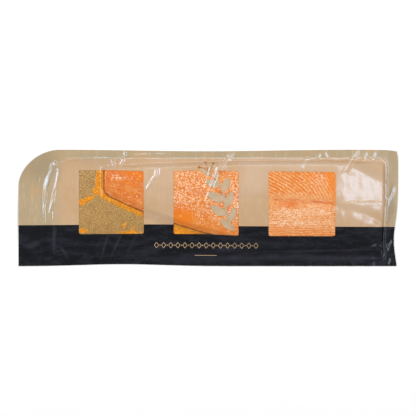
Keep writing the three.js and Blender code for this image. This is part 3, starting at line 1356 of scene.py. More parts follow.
@dataclass(frozen=True)
class SalmonFlesh(Finish):
    """Smoked flesh: mottled orange with pale fat lines, white curd and a dark skin edge.

    It reads the numbers that the fish's vertices carry: edge, flake, flaked, seam, tail, deep,
    light, amber and curd.
    """

    deep: Colour = paint(222, 108, 4)
    middle: Colour = paint(219, 125, 38)
    pale: Colour = paint(234, 168, 100)
    # Paler flesh, laid partly as painted light where the film over it tilts away from the lights.
    light: Colour = paint(246, 200, 148)
    curd: Colour = paint(253, 226, 196)
    fat: Colour = paint(248, 200, 148)
    red: Colour = paint(206, 92, 40)
    skin: Colour = paint(92, 48, 16)
    amber: Colour = paint(236, 128, 0)
    along_pace: Spot = (0.5, 1.0, 1.0)
    broad: Mottle = Mottle(15.0, 0.4, 0.62, 0.55)
    deep_share: float = 0.85
    cells: Mottle = Mottle(2.6, 0.44, 0.58, 0.58, pace=along_pace)
    glints: Mottle = Mottle(1.8, 0.52, 0.6, 0.6, pace=along_pace)
    tail_red: Cloud = Cloud(1.7, 0.42, 0.62, detail=3.0, pace=(0.2, 1.0, 1.0), turn=-27.0)
    tail_pale: Cloud = Cloud(1.3, 0.55, 0.7, pace=(0.2, 1.0, 1.0), turn=-27.0)
    flake_spacing: float = 4.9
    flake_wobbles: tuple[Point, Point] = ((12.0, 6.0), (3.0, 2.4))
    fat_line: Point = (0.3, 0.44)
    fat_share: float = 0.8
    fat_breaks: Cloud = Cloud(5.0, 0.36, 0.56)
    flake_middle: Point = (0.22, 0.06)
    middle_share: float = 0.55
    amber_clouds: Cloud = Cloud(7.0, 0.3, 0.62)
    amber_least: float = 0.5
    amber_more: float = 0.4
    curd_spots: Mottle = Mottle(1.8, 0.5, 0.58, pace=along_pace)
    seam_clouds: Cloud = Cloud(8.0, 0.35, 0.6, pace=along_pace)
    rim: Point = (3.5, 2.4)
    rim_share: float = 0.85
    rim_wave: float = 3.0
    rim_wave_size: float = 5.0
    fibre_size: float = 2.2
    fibre_detail: float = 3.0
    line_relief: float = 0.5
    relief_depth: float = 0.35

    def dress(self, sheet: NodeSheet) -> dict[str, object]:
        """Builds the flesh's colour up from its numbers and noise.

        Args:
            sheet: The material's node tree.

        Returns:
            What feeds the shader's inputs.
        """
        base = self.broad.lay(sheet, self.middle, self.pale)
        # Paler flesh, partly painted light.
        base = sheet.mix(sheet.note("light"), base, self.light)
        base = sheet.mix(sheet.times(sheet.note("deep"), self.deep_share), base, self.deep)
        base = self.cells.lay(sheet, base, self.deep)
        base = self.glints.lay(sheet, base, self.pale)
        for streaks, colour in ((self.tail_red, self.red), (self.tail_pale, self.pale)):
            share = sheet.times(streaks.mask(sheet), sheet.note("tail"))
            base = sheet.mix(share, base, colour)
        base, line = self._flakes(sheet, base)
        base = self._spots(sheet, base)
        fibre = sheet.noise(sheet.where(self.along_pace), self.fibre_size, self.fibre_detail)
        relief = sheet.sum("MULTIPLY_ADD", line, self.line_relief, fibre)
        return {"Base Color": base, "Normal": sheet.bump(relief, self.relief_depth)}

    def _flakes(self, sheet: NodeSheet, base: object) -> tuple[Socket, Socket]:
        """Draws the pale fat lines between the flakes and darkens the flakes' middles.

        Args:
            sheet: The material's node tree.
            base: The flesh's colour so far.

        Returns:
            The colour with the lines, and the lines as a mask.
        """
        moved = sheet.note("flake")
        for size, reach in self.flake_wobbles:
            moved = sheet.sum("ADD", moved, sheet.wobble(sheet.where(), size, reach))
        saw = sheet.sum("FRACT", sheet.sum("DIVIDE", moved, self.flake_spacing))
        ridge = sheet.sum("ABSOLUTE", sheet.sum("SUBTRACT", saw, 0.5))
        shown = sheet.note("flaked")
        line = sheet.times(sheet.rise(ridge, *self.fat_line), shown)
        line = sheet.times(line, self.fat_breaks.mask(sheet))
        dark = sheet.times(sheet.rise(ridge, *self.flake_middle), shown)
        base = sheet.mix(sheet.times(dark, self.middle_share), base, self.deep)
        return sheet.mix(sheet.times(line, self.fat_share), base, self.fat), line

    def _spots(self, sheet: NodeSheet, base: object) -> Socket:
        """Lays the amber, the curd, the red seam and the skin's dark rim over the flesh.

        Args:
            sheet: The material's node tree.
            base: The flesh's colour so far.

        Returns:
            The colour with them.
        """
        amber = self.amber_clouds.mask(sheet)
        amber = sheet.sum("MULTIPLY_ADD", amber, self.amber_more, self.amber_least)
        base = sheet.mix(sheet.times(sheet.note("amber"), amber), base, self.amber)
        curd = sheet.times(self.curd_spots.mask(sheet), sheet.note("curd"))
        base = sheet.mix(curd, base, self.curd)
        seam = sheet.times(sheet.note("seam"), self.seam_clouds.mask(sheet))
        base = sheet.mix(seam, base, self.red)
        wave = sheet.times(sheet.noise(sheet.where(), self.rim_wave_size), self.rim_wave)
        rim = sheet.rise(sheet.sum("ADD", sheet.note("edge"), wave), *self.rim)
        return sheet.mix(sheet.times(rim, self.rim_share), base, self.skin)


@dataclass(frozen=True)
class Oil(Finish):
    """Wet amber oil, paler and yellower where it is thin."""

    thick: Colour = paint(232, 144, 0)
    thin: Colour = paint(200, 142, 40)
    dark: Colour = paint(188, 100, 0)
    # Painted glints on the oil.
    glint: Colour = paint(255, 206, 92)
    depth: Point = (0.45, 1.05)
    depth_wave: float = 0.5
    depth_wave_size: float = 7.0
    clouds: Mottle = Mottle(3.4, 0.42, 0.56, 0.55)
    painted_glints: Mottle = Mottle(2.2, 0.54, 0.62, 0.75)
    relief_size: float = 4.0
    relief_depth: float = 0.3

    def dress(self, sheet: NodeSheet) -> dict[str, object]:
        """Tints the oil by its depth, with dark clouds and painted glints.

        Args:
            sheet: The material's node tree.

        Returns:
            What feeds the shader's inputs.
        """
        place = sheet.where()
        wave = sheet.times(sheet.noise(place, self.depth_wave_size), self.depth_wave)
        depth = sheet.rise(sheet.sum("ADD", sheet.note("depth"), wave), *self.depth)
        base = sheet.mix(depth, self.thin, self.thick)
        base = self.clouds.lay(sheet, base, self.dark)
        base = self.painted_glints.lay(sheet, base, self.glint)
        relief = sheet.noise(place, self.relief_size)
        return {"Base Color": base, "Normal": sheet.bump(relief, self.relief_depth)}


@dataclass(frozen=True)
class PlainPaint(Finish):
    """Two tones in soft spots, with fine relief."""

    tone: Colour = (0.8, 0.8, 0.8)
    other: Colour = (0.75, 0.75, 0.75)
    size: float = 3.0
    start: float = 0.4
    full: float = 0.6
    relief_depth: float = 0.02

    def dress(self, sheet: NodeSheet) -> dict[str, object]:
        """Mixes the two tones by noise, and gives the surface spots a third as large.

        Args:
            sheet: The material's node tree.

        Returns:
            What feeds the shader's inputs.
        """
        base = Mottle(self.size, self.start, self.full).lay(sheet, self.tone, self.other)
        relief = sheet.noise(sheet.where(), self.size / 3)
        return {"Base Color": base, "Normal": sheet.bump(relief, self.relief_depth)}


# Sub-assemblies


def steps_between(stops: Sequence[float], step: float) -> list[float]:
    """Divides a line of stops evenly, keeping every stop.

    Args:
        stops: Places that the division keeps.
        step: The longest step.

    Returns:
        All places, the stops among them.
    """
    slack = 1e-6
    places = [stops[0]]
    for start, end in zip(stops, stops[1:]):
        count = max(1, math.ceil((end - start) / step - slack))
        places += [start + (end - start) * (i + 1) / count for i in range(count)]
    return places


def cos_sin(degrees: float) -> Point:
    """Gives an angle's cosine and sine."""
    return math.cos(math.radians(degrees)), math.sin(math.radians(degrees))


@dataclass(frozen=True)
class Patch:
    """A soft elliptical patch, given by its centre, half sizes, weight and turn in degrees."""

    x: float
    y: float
    half_x: float
    half_y: float
    weight: float = 1.0
    turn: float = 0.0

    def at(self, x: Array, y: Array) -> Array:
        """Gives the patch's strength.

        Args:
            x: Places along the pouch.
            y: Places across it.

        Returns:
            The strength at each place.
        """
        falloff = 1.5
        cos, sin = cos_sin(self.turn)
        u = ((x - self.x) * cos + (y - self.y) * sin) / self.half_x
        v = ((y - self.y) * cos - (x - self.x) * sin) / self.half_y
        return self.weight * np.exp(-((u * u + v * v) ** falloff))


def covered(patches: Sequence[Patch], x: Array, y: Array) -> Array:
    """Adds patches up, to 1 at most.

    Args:
        patches: The patches.
        x: Places along the pouch.
        y: Places across it.

    Returns:
        The share covered at each place.
    """
    return np.clip(sum(patch.at(x, y) for patch in patches), 0, 1)


@dataclass(frozen=True)
class Window:
    """A clear square in the print, between two places along the pouch."""

    left: float
    right: float


@dataclass
class PouchFilm:
    """The sealed film: one closed shell with printed and clear faces."""

    form: FilmForm
    windows: tuple[Window, ...] = (Window(-211.4, -105.4), Window(-56.6, 49.3), Window(98.0, 206.3))
    window_tops: tuple[Point, ...] = (
        (-211, 61.9), (-157, 61.7), (-118, 60.4), (-57, 60.2), (-22, 60.8),
        (37, 59.9), (98, 59.5), (150, 58.7), (206, 58.2),
    )
    window_bottoms: tuple[Point, ...] = (
        (-211, -42.8), (-105, -42.2), (-57, -42.5), (-8, -42.6), (49, -45.2), (98, -45.8),
        (206, -46.0),
    )
    band_tops: tuple[Point, ...] = (
        (-310, -28.3), (-220, -27.7), (-95, -26.8), (-18, -27.0), (52, -29.6), (230, -30.6),
        (310, -31.0),
    )
    corner_radius: float = 2.6
    corner_points: int = 3
    top_reach: float = 0.83
    wide_step: float = 2.6
    fine_step: float = 1.05
    end_columns: tuple[float, ...] = (0.0, 0.12, 0.4, 0.9, 1.6, 2.5)
    facing_up: float = 0.1
    flat_inset: float = 1.5
    card_edge: Point = (-2.5, 1.0)
    # Patches of painted shade on the kraft print.
    shaded: tuple[Patch, ...] = (
        Patch(-275, 72, 34, 30, 0.75),
        Patch(-180, 76, 40, 10, 0.3),
        Patch(298, 10, 8, 120, 0.35),
        Patch(262, 60, 26, 9, 0.28, -22),
    )
    matted: tuple[Patch, ...] = (Patch(252, 28, 60, 70),)
    # Patches of painted highlights and reflections: crease streaks and pale sheen on the kraft and
    # black print.
    painted_highlight: tuple[Patch, ...] = (
        Patch(-80, 50, 40, 34, 0.3),
        Patch(28, 72, 19, 1.2, 0.9, 61),
        Patch(23.5, 74, 17, 0.9, 0.7, 61),
        Patch(231, 75, 18, 1.6, 0.75, 54),
        Patch(250, 28, 46, 40, 0.5),
        Patch(237, 73, 13, 1.0, 0.55, 56),
        Patch(156, 73, 11, 2.2, 0.6, 48),
        Patch(190, -69.5, 95, 1.3, 0.4, 1.2),
        Patch(150, -82, 120, 5, 0.3),
        Patch(-10, -84, 90, 6, 0.3),
        Patch(74, 50, 26, 34, 0.35),
        Patch(150, 70, 60, 10, 0.35),
        Patch(-252, -50, 2.6, 24, 0.45),
        Patch(-235, -73, 11, 2, 0.6, -57),
        Patch(-285, -60, 12, 5, 0.45, 25),
        Patch(-169, -61, 22, 2, 0.4, 75),
        Patch(-149, -58, 19, 2.4, 0.4, 65),
        Patch(-125, -60, 21, 2.4, 0.25, 63),
        Patch(60, -62, 60, 9, 0.16, 4),
        Patch(226, -84, 60, 4, 0.25, 1),
    )
    creased: tuple[Point, ...] = (
        (-276, -236), (-180, -130), (-106, -74), (-14, 44), (146, 198), (216, 308),
    )
    row_counts: tuple[int, int, int, int] = (36, 10, 72, 30)
    kraft: KraftPrint = KraftPrint("kraft_print", roughness=0.18, ior=1.8)
    black: BlackPrint = BlackPrint("black_print", roughness=0.2, ior=1.4, gloss=(0.8, 0.85, 1.0))
    clear: ClearFilm = ClearFilm()

    def _columns(self) -> Array:
        """Places the columns: at the windows' sides, and close together where creases are.

        Returns:
            The columns' places along the pouch.
        """
        half = self.form.plan.length / 2
        *places, first = (reach - half for reach in self.end_columns)
        sides = [side for window in self.windows for side in (window.left, window.right)]
        ends = [end for zone in self.creased for end in zone]
        stops = sorted([first, *sides, *ends, half])
        for start, end in zip(stops, stops[1:]):
            middle = (start + end) / 2
            close = any(low < middle < high for low, high in self.creased)
            places += steps_between([start, end], self.fine_step if close else self.wide_step)[:-1]
        return np.array([*places, half])

    @staticmethod
    def _edge(places: tuple[Point, ...], x: Array) -> Array:
        """Gives the Y of a printed edge, which the drawn film pulls out of line."""
        return np.interp(x, *zip(*places))

    def _rows(self, x: Array) -> Array:
        """Places the rows, with rows on the windows' and the band's edges.

        Args:
            x: The columns' places along the pouch.

        Returns:
            The rows' places across it, by column and row.
        """
        low, high = self.form.plan.belly_edge(x), self.form.plan.back_edge(x)
        top = np.minimum(self._edge(self.window_tops, x), low + self.top_reach * (high - low))
        stops = (low, self._edge(self.window_bottoms, x), self._edge(self.band_tops, x), top, high)
        rows = [low]
        for start, end, count in zip(stops, stops[1:], self.row_counts):
            rows += [start + (end - start) * (i + 1) / count for i in range(count)]
        return np.stack(rows, axis=1)

    def _round_corners(self, x: Array, y: Array, columns: Array) -> None:
        """Moves the windows' edges in at their corners.

        Args:
            x: Places along the pouch by column and row, changed here.
            y: Places across it, changed here.
            columns: The columns' places.
        """
        first, last = self.row_counts[0], sum(self.row_counts[:3])
        for window in self.windows:
            for side, inward in ((window.left, 1), (window.right, -1)):
                i = int(np.argmin(np.abs(columns - side)))
                for j, step in ((first, 1), (last, -1)):
                    near = [(i + inward * k, j) for k in range(self.corner_points)]
                    near += [(i, j + step * (k + 1)) for k in range(self.corner_points)]
                    self._round_corner(x, y, near, (inward, step))

    def _round_corner(self, x: Array, y: Array, near: list, inward: Point) -> None:
        """Moves the points by one corner onto its arc.

        Args:
            x: Places along the pouch by column and row, changed here.
            y: Places across it, changed here.
            near: Column and row of each point, the corner itself first.
            inward: Which way the window lies from the corner, as 1 or -1 along and across.
        """
        radius = self.corner_radius
        middle_x = x[near[0]] + inward[0] * radius
        middle_y = y[near[0]] + inward[1] * radius
        for point in near:
            dx, dy = x[point] - middle_x, y[point] - middle_y
            if dx * inward[0] > 0 or dy * inward[1] > 0:
                continue
            share = radius / math.hypot(dx, dy)
            x[point], y[point] = middle_x + dx * share, middle_y + dy * share

    def _face_kinds(self, piece: Piece) -> Array:
        """Says what each face shows.

        Args:
            piece: The film.

        Returns:
            The FilmFace value of each face.
        """
        x, y = Bench.face_centres(piece)[:, :2].T
        up = Bench.read(piece.data.polygons, "normal")[:, 2] > self.facing_up
        kinds = np.full(len(x), FilmFace.KRAFT.value, np.int32)
        kinds[(y < self._edge(self.band_tops, x)) & up] = FilmFace.BLACK.value
        above = y > self._edge(self.window_bottoms, x)
        below = y < self._edge(self.window_tops, x)
        for window in self.windows:
            inside = (x > window.left) & (x < window.right) & above & below & up
            kinds[inside] = FilmFace.CLEAR.value
        return kinds

    def build(self) -> Piece:
        """Makes the shell.

        Returns:
            The piece.
        """
        columns = self._columns()
        y = self._rows(columns)
        x = np.repeat(columns[:, None], y.shape[1], axis=1)
        self._round_corners(x, y, columns)
        z = self.form.height(x, y)
        x = x - self.form.plan.shoulder_inset(x, y)
        piece = Bench.grid("pouch_film", x, y, z)
        Bench.thicken(piece, self.form.underside)
        centre = Bench.face_centres(piece)
        inside = self.form.card.inside(centre[:, 0], centre[:, 1])
        resting = (inside > self.form.rest_inset + self.flat_inset) & (centre[:, 2] < NEARLY)
        Bench.join_flat(piece, resting)
        piece.data.polygons.foreach_set("material_index", self._face_kinds(piece))
        where = Bench.places(piece)[:, :2].T
        Bench.note(piece, "over_card", smooth_step(*self.card_edge, self.form.card.inside(*where)))
        # The shade and highlight notes carry painted light; the matt note only roughens the print.
        for name, patches in (("shade", self.shaded), ("painted_highlight_mask", self.painted_highlight), ("matt", self.matted)):
            Bench.note(piece, name, covered(patches, *where))
        looks = {FilmFace.KRAFT: self.kraft, FilmFace.BLACK: self.black, FilmFace.CLEAR: self.clear}
        Bench.finish(piece, Slot.PRINT, [looks[kind].material() for kind in FilmFace])
        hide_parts(SOLID)
        return piece


@dataclass
class GoldTray:
    """The gold card that the fish lies on."""

    form: CardForm
    corner_segments: int = 8
    rim: float = 0.25
    rim_segments: int = 2
    look: GoldCard = GoldCard("gold_card", roughness=0.42, metallic=0.2)

    def build(self) -> Piece:
        """Makes the card: a slab with rounded corners and a softened rim.

        Returns:
            The piece.
        """
        form = self.form
        Bench.clear()
        bpy.ops.mesh.primitive_cube_add(size=1)
        piece = Bench.named("gold_card")
        shares = Bench.places(piece) * MM + 0.5
        low = np.array([form.left, form.front, form.bottom])
        high = np.array([form.right - form.short, form.back, form.top])
        Bench.place(piece, low + shares * (high - low))
        self._bevel(piece, True, form.corner_radius, self.corner_segments)
        self._bevel(piece, False, self.rim, self.rim_segments)
        Bench.finish(piece, Slot.CARD, [self.look.material()])
        return piece

    def _bevel(self, piece: Piece, upright: bool, radius: float, segments: int) -> None:
        """Bevels the upright edges, or those round the top.

        Args:
            piece: The card.
            upright: Whether the upright edges are the ones.
            radius: The bevel's radius.
            segments: How many faces it has across.
        """
        Bench.pick_none(piece, "EDGE")
        half = (self.form.top - self.form.bottom) / 2 * MM
        middle = self.form.bottom * MM + half
        for edge in piece.data.edges:
            a, b = (piece.data.vertices[i].co.z for i in edge.vertices)
            edge.select = abs(a - b) > half if upright else min(a, b) > middle
        bpy.ops.object.mode_set(mode="EDIT")
        bpy.ops.mesh.bevel(offset=radius * MM, segments=segments, profile=0.5)
        bpy.ops.object.mode_set(mode="OBJECT")


@dataclass
class SalmonSide:
    """The side of salmon, with the numbers that its material reads."""

    form: FilmForm
    clearance: float = 0.45
    step_x: float = 1.4
    near_ends: tuple[float, ...] = (0.02, 0.5, 1.2, 2.2)
    rows: int = 112
    even_share: float = 0.65
    arc_centre: Point = (87.0, -31.0)
    arc_turn: float = 27.0
    belly_flakes: Point = (1.3, 0.12)
    dorsal_rise: float = 14.0
    flaked_from: Point = (70.0, 110.0)
    belly_flaked: Point = (14.0, 34.0)
    seam_width: float = 2.2
    seam_from: Point = (-40.0, 20.0)
    seam_share: float = 0.8
    tail_from: Point = (-70.0, -112.0)
    tail_share: float = 0.6
    deep: tuple[Patch, ...] = (
        Patch(-45, -8, 22, 22),
        Patch(-21, 28, 16, 14, 0.35),
        Patch(136, 6, 12, 7, 0.7),
        Patch(-113, 54, 30, 9),
        Patch(-151, 62, 20, 6, 0.6),
        Patch(-121, 40, 10, 4, 0.5),
        Patch(119, -58, 60, 14, 0.5),
        Patch(125, 6, 16, 6, 0.6),
        Patch(189, 58, 26, 14, 0.4),
    )
    amber: tuple[Patch, ...] = (
        Patch(201, 46, 9, 26, 1.0, 12),
        Patch(166, 52, 9, 11, 0.6),
        Patch(206, 14, 8, 16, 0.7),
        Patch(-40, -14, 20, 13, 0.9),
        Patch(-14, -32, 40, 5, 0.5, -14),
        Patch(-113, 53, 22, 6, 0.8, -8),
        Patch(-128, 40, 16, 3, 0.5, -20),
    )
    # Paler flesh, partly painted light where the film over it tilts away from the lights.
    light: tuple[Patch, ...] = (
        Patch(150, -14, 80, 32, 0.45),
        Patch(140, 16, 50, 12, 0.35),
        Patch(190, 34, 24, 30, 0.25),
    )
    curd: tuple[Patch, ...] = (
        Patch(-31, 45, 40, 30, 0.6),
        Patch(19, 10, 40, 26, 0.55),
        Patch(39, 30, 22, 50, 0.5),
        Patch(-41, 10, 30, 12, 0.55),
        Patch(129, -8, 34, 12, 0.75),
        Patch(189, -4, 34, 10, 0.65),
        Patch(149, -24, 60, 8, 0.6),
        Patch(-149, 50, 9, 4, 1.0, -16),
        Patch(177, 48, 14, 12, 0.5),
    )
    look: SalmonFlesh = SalmonFlesh("salmon_flesh", roughness=0.45, ior=1.2)

    def _flake(self, x: Array, y: Array) -> Array:
        """Measures across the flakes, which curve back from the groove.

        Args:
            x: Places along the fish.
            y: Places across it.

        Returns:
            The distance across the flakes at each place.
        """
        groove = self.form.fish.groove_y(x)
        above = y >= groove
        dx = x - self.arc_centre[0]
        dy = np.where(above, y - self.arc_centre[1], groove - self.arc_centre[1])
        cos, sin = cos_sin(self.arc_turn)
        straight = dx * sin + dy * cos
        arcs = np.where(dx < dy * sin / cos, straight, np.hypot(dx, dy))
        across, along = self.belly_flakes
        return np.where(above, arcs, (groove - y) * across + along * x)

    def _notes(self, x: Array, y: Array) -> dict[str, Array]:
        """Gives the numbers that the material reads.

        Args:
            x: Places along the fish.
            y: Places across it.

        Returns:
            The values at each place, by the name of the number.
        """
        fish = self.form.fish
        groove = fish.groove_y(x)
        dorsal = smooth_step(0, self.dorsal_rise, y - groove)
        belly = smooth_step(*self.belly_flaked, groove - y)
        seam = np.exp(-(((y - groove) / self.seam_width) ** 2))
        return {
            "edge": fish.inside(x, y),
            "flake": self._flake(x, y),
            "flaked": smooth_step(*self.flaked_from, x) * (dorsal + belly),
            "seam": seam * smooth_step(*self.seam_from, x) * self.seam_share,
            "tail": self.tail_share * smooth_step(*self.tail_from, x),
            "deep": covered(self.deep, x, y),
            "light": covered(self.light, x, y),
            "amber": covered(self.amber, x, y),
            "curd": covered(self.curd, x, y),
        }

    def build(self) -> Piece:
        """Makes the fish: its upper face under the film, and its sides down to the card.

        Returns:
            The piece.
        """
        fish = self.form.fish
        columns = [fish.tail_x + reach for reach in self.near_ends]
        last = fish.shoulder_x - self.near_ends[-1]
        columns += steps_between([columns[-1], last], self.step_x)[1:]
        columns += [fish.shoulder_x - reach for reach in reversed(self.near_ends[:-1])]
        crowded = (1 - np.cos(np.linspace(0, math.pi, self.rows))) / 2
        even = np.linspace(0, 1, self.rows)
        shares = (1 - self.even_share) * crowded + self.even_share * even
        spans = np.array([fish.span(column) for column in columns])
        x = np.repeat(np.array(columns)[:, None], self.rows, axis=1)
        y = spans[:, :1] + (spans[:, 1:] - spans[:, :1]) * shares
        z = self.form.under(x, y, self.clearance)
        x = x - self.form.plan.shoulder_inset(x, y)
        card_top = self.form.card.top
        piece = Bench.grid("salmon_side", x, y, z)
        Bench.thicken(piece, lambda px, py: np.full_like(px, card_top))
        Bench.join_flat(piece, Bench.face_centres(piece)[:, 2] < card_top + NEARLY)
        for name, values in self._notes(*Bench.places(piece)[:, :2].T).items():
            Bench.note(piece, name, values)
        Bench.finish(piece, Slot.FLESH, [self.look.material()])
        return piece


@dataclass
class OilPool:
    """Amber oil on the card, along the fish's belly edge and round the tail's cut."""

    form: FilmForm
    step: float = 0.9
    clearance: float = 0.12
    sink: float = 0.25
    foot: float = 0.2
    left: float = -214.0
    right: float = 60.0
    front: float = -70.0
    back: float = 72.0
    strip: float = 8.2
    strip_more: float = 11.0
    strip_grows: Point = (-100.0, -50.0)
    under_fish: float = 4.0
    pool_edge: float = 0.5
    pool_slope: float = 10.0
    ragged: float = 0.5
    thickness: float = 0.748
    brim: float = 1.5
    climb_beside: Point = (9.0, 1.0)
    climb_inside: Point = (0.0, 3.0)
    climb: float = 0.5
    dip: float = 0.15
    kept_outside: float = 2.4
    kept_under: float = 2.5
    full_depth: float = 4.0
    rough: Ripples = Ripples(seed=23, count=22, shortest=2.6, longest=15.0, steepness=1.6)
    patches: tuple[Patch, ...] = (
        Patch(-177, 50, 7, 27, 1.3, -7),
        Patch(-183, 28, 6, 8, 1.2),
        Patch(-197, 14, 14, 4.5, 1.1, 24),
        Patch(-207, 9, 7, 6, 1.1),
        Patch(-204, -37, 8, 5),
        Patch(-129, -40, 26, 3.6, 0.8),
        Patch(-137, -28, 5, 8, 0.6),
        Patch(-123, -34, 4, 5, 0.6),
    )
    look: Oil = Oil("fish_oil", roughness=0.2, ior=1.25)

    def _field(self, x: Array, y: Array) -> Array:
        """Measures how far inside the oil's outline places lie.

        Args:
            x: Places along the pouch.
            y: Places across it.

        Returns:
            The distance at each place in millimetres, less than 0 outside.
        """
        away = -self.form.fish.inside(x, y)
        reach = self.strip + self.strip_more * smooth_step(*self.strip_grows, x)
        strip = np.minimum(reach - away, away + self.under_fish)
        strongest = np.maximum.reduce([patch.at(x, y) for patch in self.patches])
        pools = (strongest - self.pool_edge) * self.pool_slope
        return np.maximum(strip, pools) + self.rough.at(x, y) * self.ragged

    def _height(self, x: Array, y: Array) -> Array:
        """Gives the oil's upper face, which climbs beside the fish and dips at its outline.

        Args:
            x: Places along the pouch.
            y: Places across it.

        Returns:
            The height at each place.
        """
        card_top = self.form.card.top
        inside = self._field(x, y)
        room = self.form.under(x, y, self.clearance) - card_top
        rounded = 1 - np.exp(-np.maximum(inside, 0) / self.brim)
        depth = np.minimum(self.thickness * rounded, room)
        beside = smooth_step(*self.climb_beside, -self.form.fish.inside(x, y))
        climb = beside * smooth_step(*self.climb_inside, inside) * self.climb
        depth = depth + np.maximum(room - depth, 0) * climb
        return card_top + np.where(inside > 0, depth, np.maximum(inside * self.dip, -self.sink))

    def build(self) -> Piece:
        """Makes the oil: a thin body that sinks a little into the card.

        Returns:
            The piece.
        """
        across = np.array(steps_between([self.left, self.right], self.step))
        down = np.array(steps_between([self.front, self.back], self.step))
        x, y = np.meshgrid(across, down, indexing="ij")
        piece = Bench.grid("fish_oil", x, y, self._height(x, y))
        centre = Bench.face_centres(piece)[:, :2].T
        out = self._field(*centre) < -self.kept_outside
        out |= self.form.fish.inside(*centre) > self.kept_under
        Bench.drop_faces(piece, out)
        foot = self.form.card.top - self.sink - self.foot
        Bench.thicken(piece, lambda px, py: np.full_like(px, foot))
        inside = self._field(*Bench.places(piece)[:, :2].T)
        Bench.note(piece, "depth", np.clip(inside / self.full_depth, 0, 1))
        Bench.finish(piece, Slot.OIL, [self.look.material()])
        return piece


@dataclass
class ProteinSpecks:
    """Small beads of set white protein on the flesh, one modelled bead copied many times."""

    form: FilmForm
    clearance: float = 0.45
    spread: int = 900
    seed: int = 41
    edge: float = 11.0
    reach_x: Point = (-160.0, 280.0)
    reach_y: Point = (-70.0, 72.0)
    stray_share: float = 0.05
    bands: tuple[Patch, ...] = (
        Patch(149, -7, 60, 5),
        Patch(149, -24, 60, 4),
        Patch(-31, 48, 30, 22, 0.55),
        Patch(9, -10, 40, 14, 0.5),
        Patch(-45, 22, 16, 16, 0.5),
        Patch(39, 10, 14, 50, 0.5),
        Patch(-145, 50, 12, 4, 0.5),
    )
    cut: float = -0.2
    lengths: Point = (0.5, 1.5)
    widths: Point = (0.4, 0.9)
    heights: Point = (0.16, 0.26)
    look: PlainPaint = PlainPaint(
        "set_protein", roughness=0.35, tone=paint(252, 220, 188), other=paint(246, 198, 154)
    )

    def _bead(self) -> tuple[Array, list[tuple[int, ...]]]:
        """Models one bead: a small ball of radius 1, cut flat underneath.

        Returns:
            Its vertices and its faces.
        """
        Bench.clear()
        bpy.ops.mesh.primitive_ico_sphere_add(subdivisions=2, radius=1)
        bead = Bench.named("bead")
        plane = {"plane_co": (0, 0, self.cut), "plane_no": (0, 0, 1)}
        bpy.ops.object.mode_set(mode="EDIT")
        bpy.ops.mesh.select_all(action="SELECT")
        bpy.ops.mesh.bisect(**plane, use_fill=True, clear_inner=True)
        bpy.ops.object.mode_set(mode="OBJECT")
        places = Bench.places(bead) * MM
        faces = [tuple(face.vertices) for face in bead.data.polygons]
        bpy.data.objects.remove(bead)
        return places, faces

    def _centres(self, draw: random.Random) -> list[Spot]:
        """Scatters the beads over the flesh, closer together in the bands.

        Args:
            draw: The source of chance.

        Returns:
            The beads' places.
        """
        centres = []
        while len(centres) < self.spread:
            x, y = draw.uniform(*self.reach_x), draw.uniform(*self.reach_y)
            spot = (np.array([x]), np.array([y]))
            share = self.stray_share + max(float(band.at(*spot)[0]) for band in self.bands)
            inside = float(self.form.fish.inside(*spot)[0])
            if inside < self.edge or draw.random() > share:
                continue
            centres.append((x, y, float(self.form.under(*spot, self.clearance)[0])))
        return centres

    def build(self) -> Piece:
        """Copies the bead to every place, each copy stretched and turned by chance.

        Returns:
            The piece.
        """
        bead, faces = self._bead()
        draw = random.Random(self.seed)
        vertices, polygons = [], []
        for x, y, z in self._centres(draw):
            long, wide = draw.uniform(*self.lengths), draw.uniform(*self.widths)
            turn = draw.uniform(0, math.pi)
            cos, sin = math.cos(turn), math.sin(turn)
            u, v = bead[:, 0] * long, bead[:, 1] * wide
            high = bead[:, 2] * draw.uniform(*self.heights)
            start = len(vertices) * len(bead)
            vertices.append(np.stack([x + u * cos - v * sin, y + u * sin + v * cos, z + high], axis=1))
            polygons += [tuple(start + i for i in face) for face in faces]
        mesh = bpy.data.meshes.new("protein_specks")
        mesh.from_pydata((np.concatenate(vertices) * MM).tolist(), [], polygons)
        piece = bpy.data.objects.new("protein_specks", mesh)
        bpy.context.scene.collection.objects.link(piece)
        Bench.face_out(piece)
        Bench.finish(piece, Slot.FLESH, [self.look.material()])
        return piece


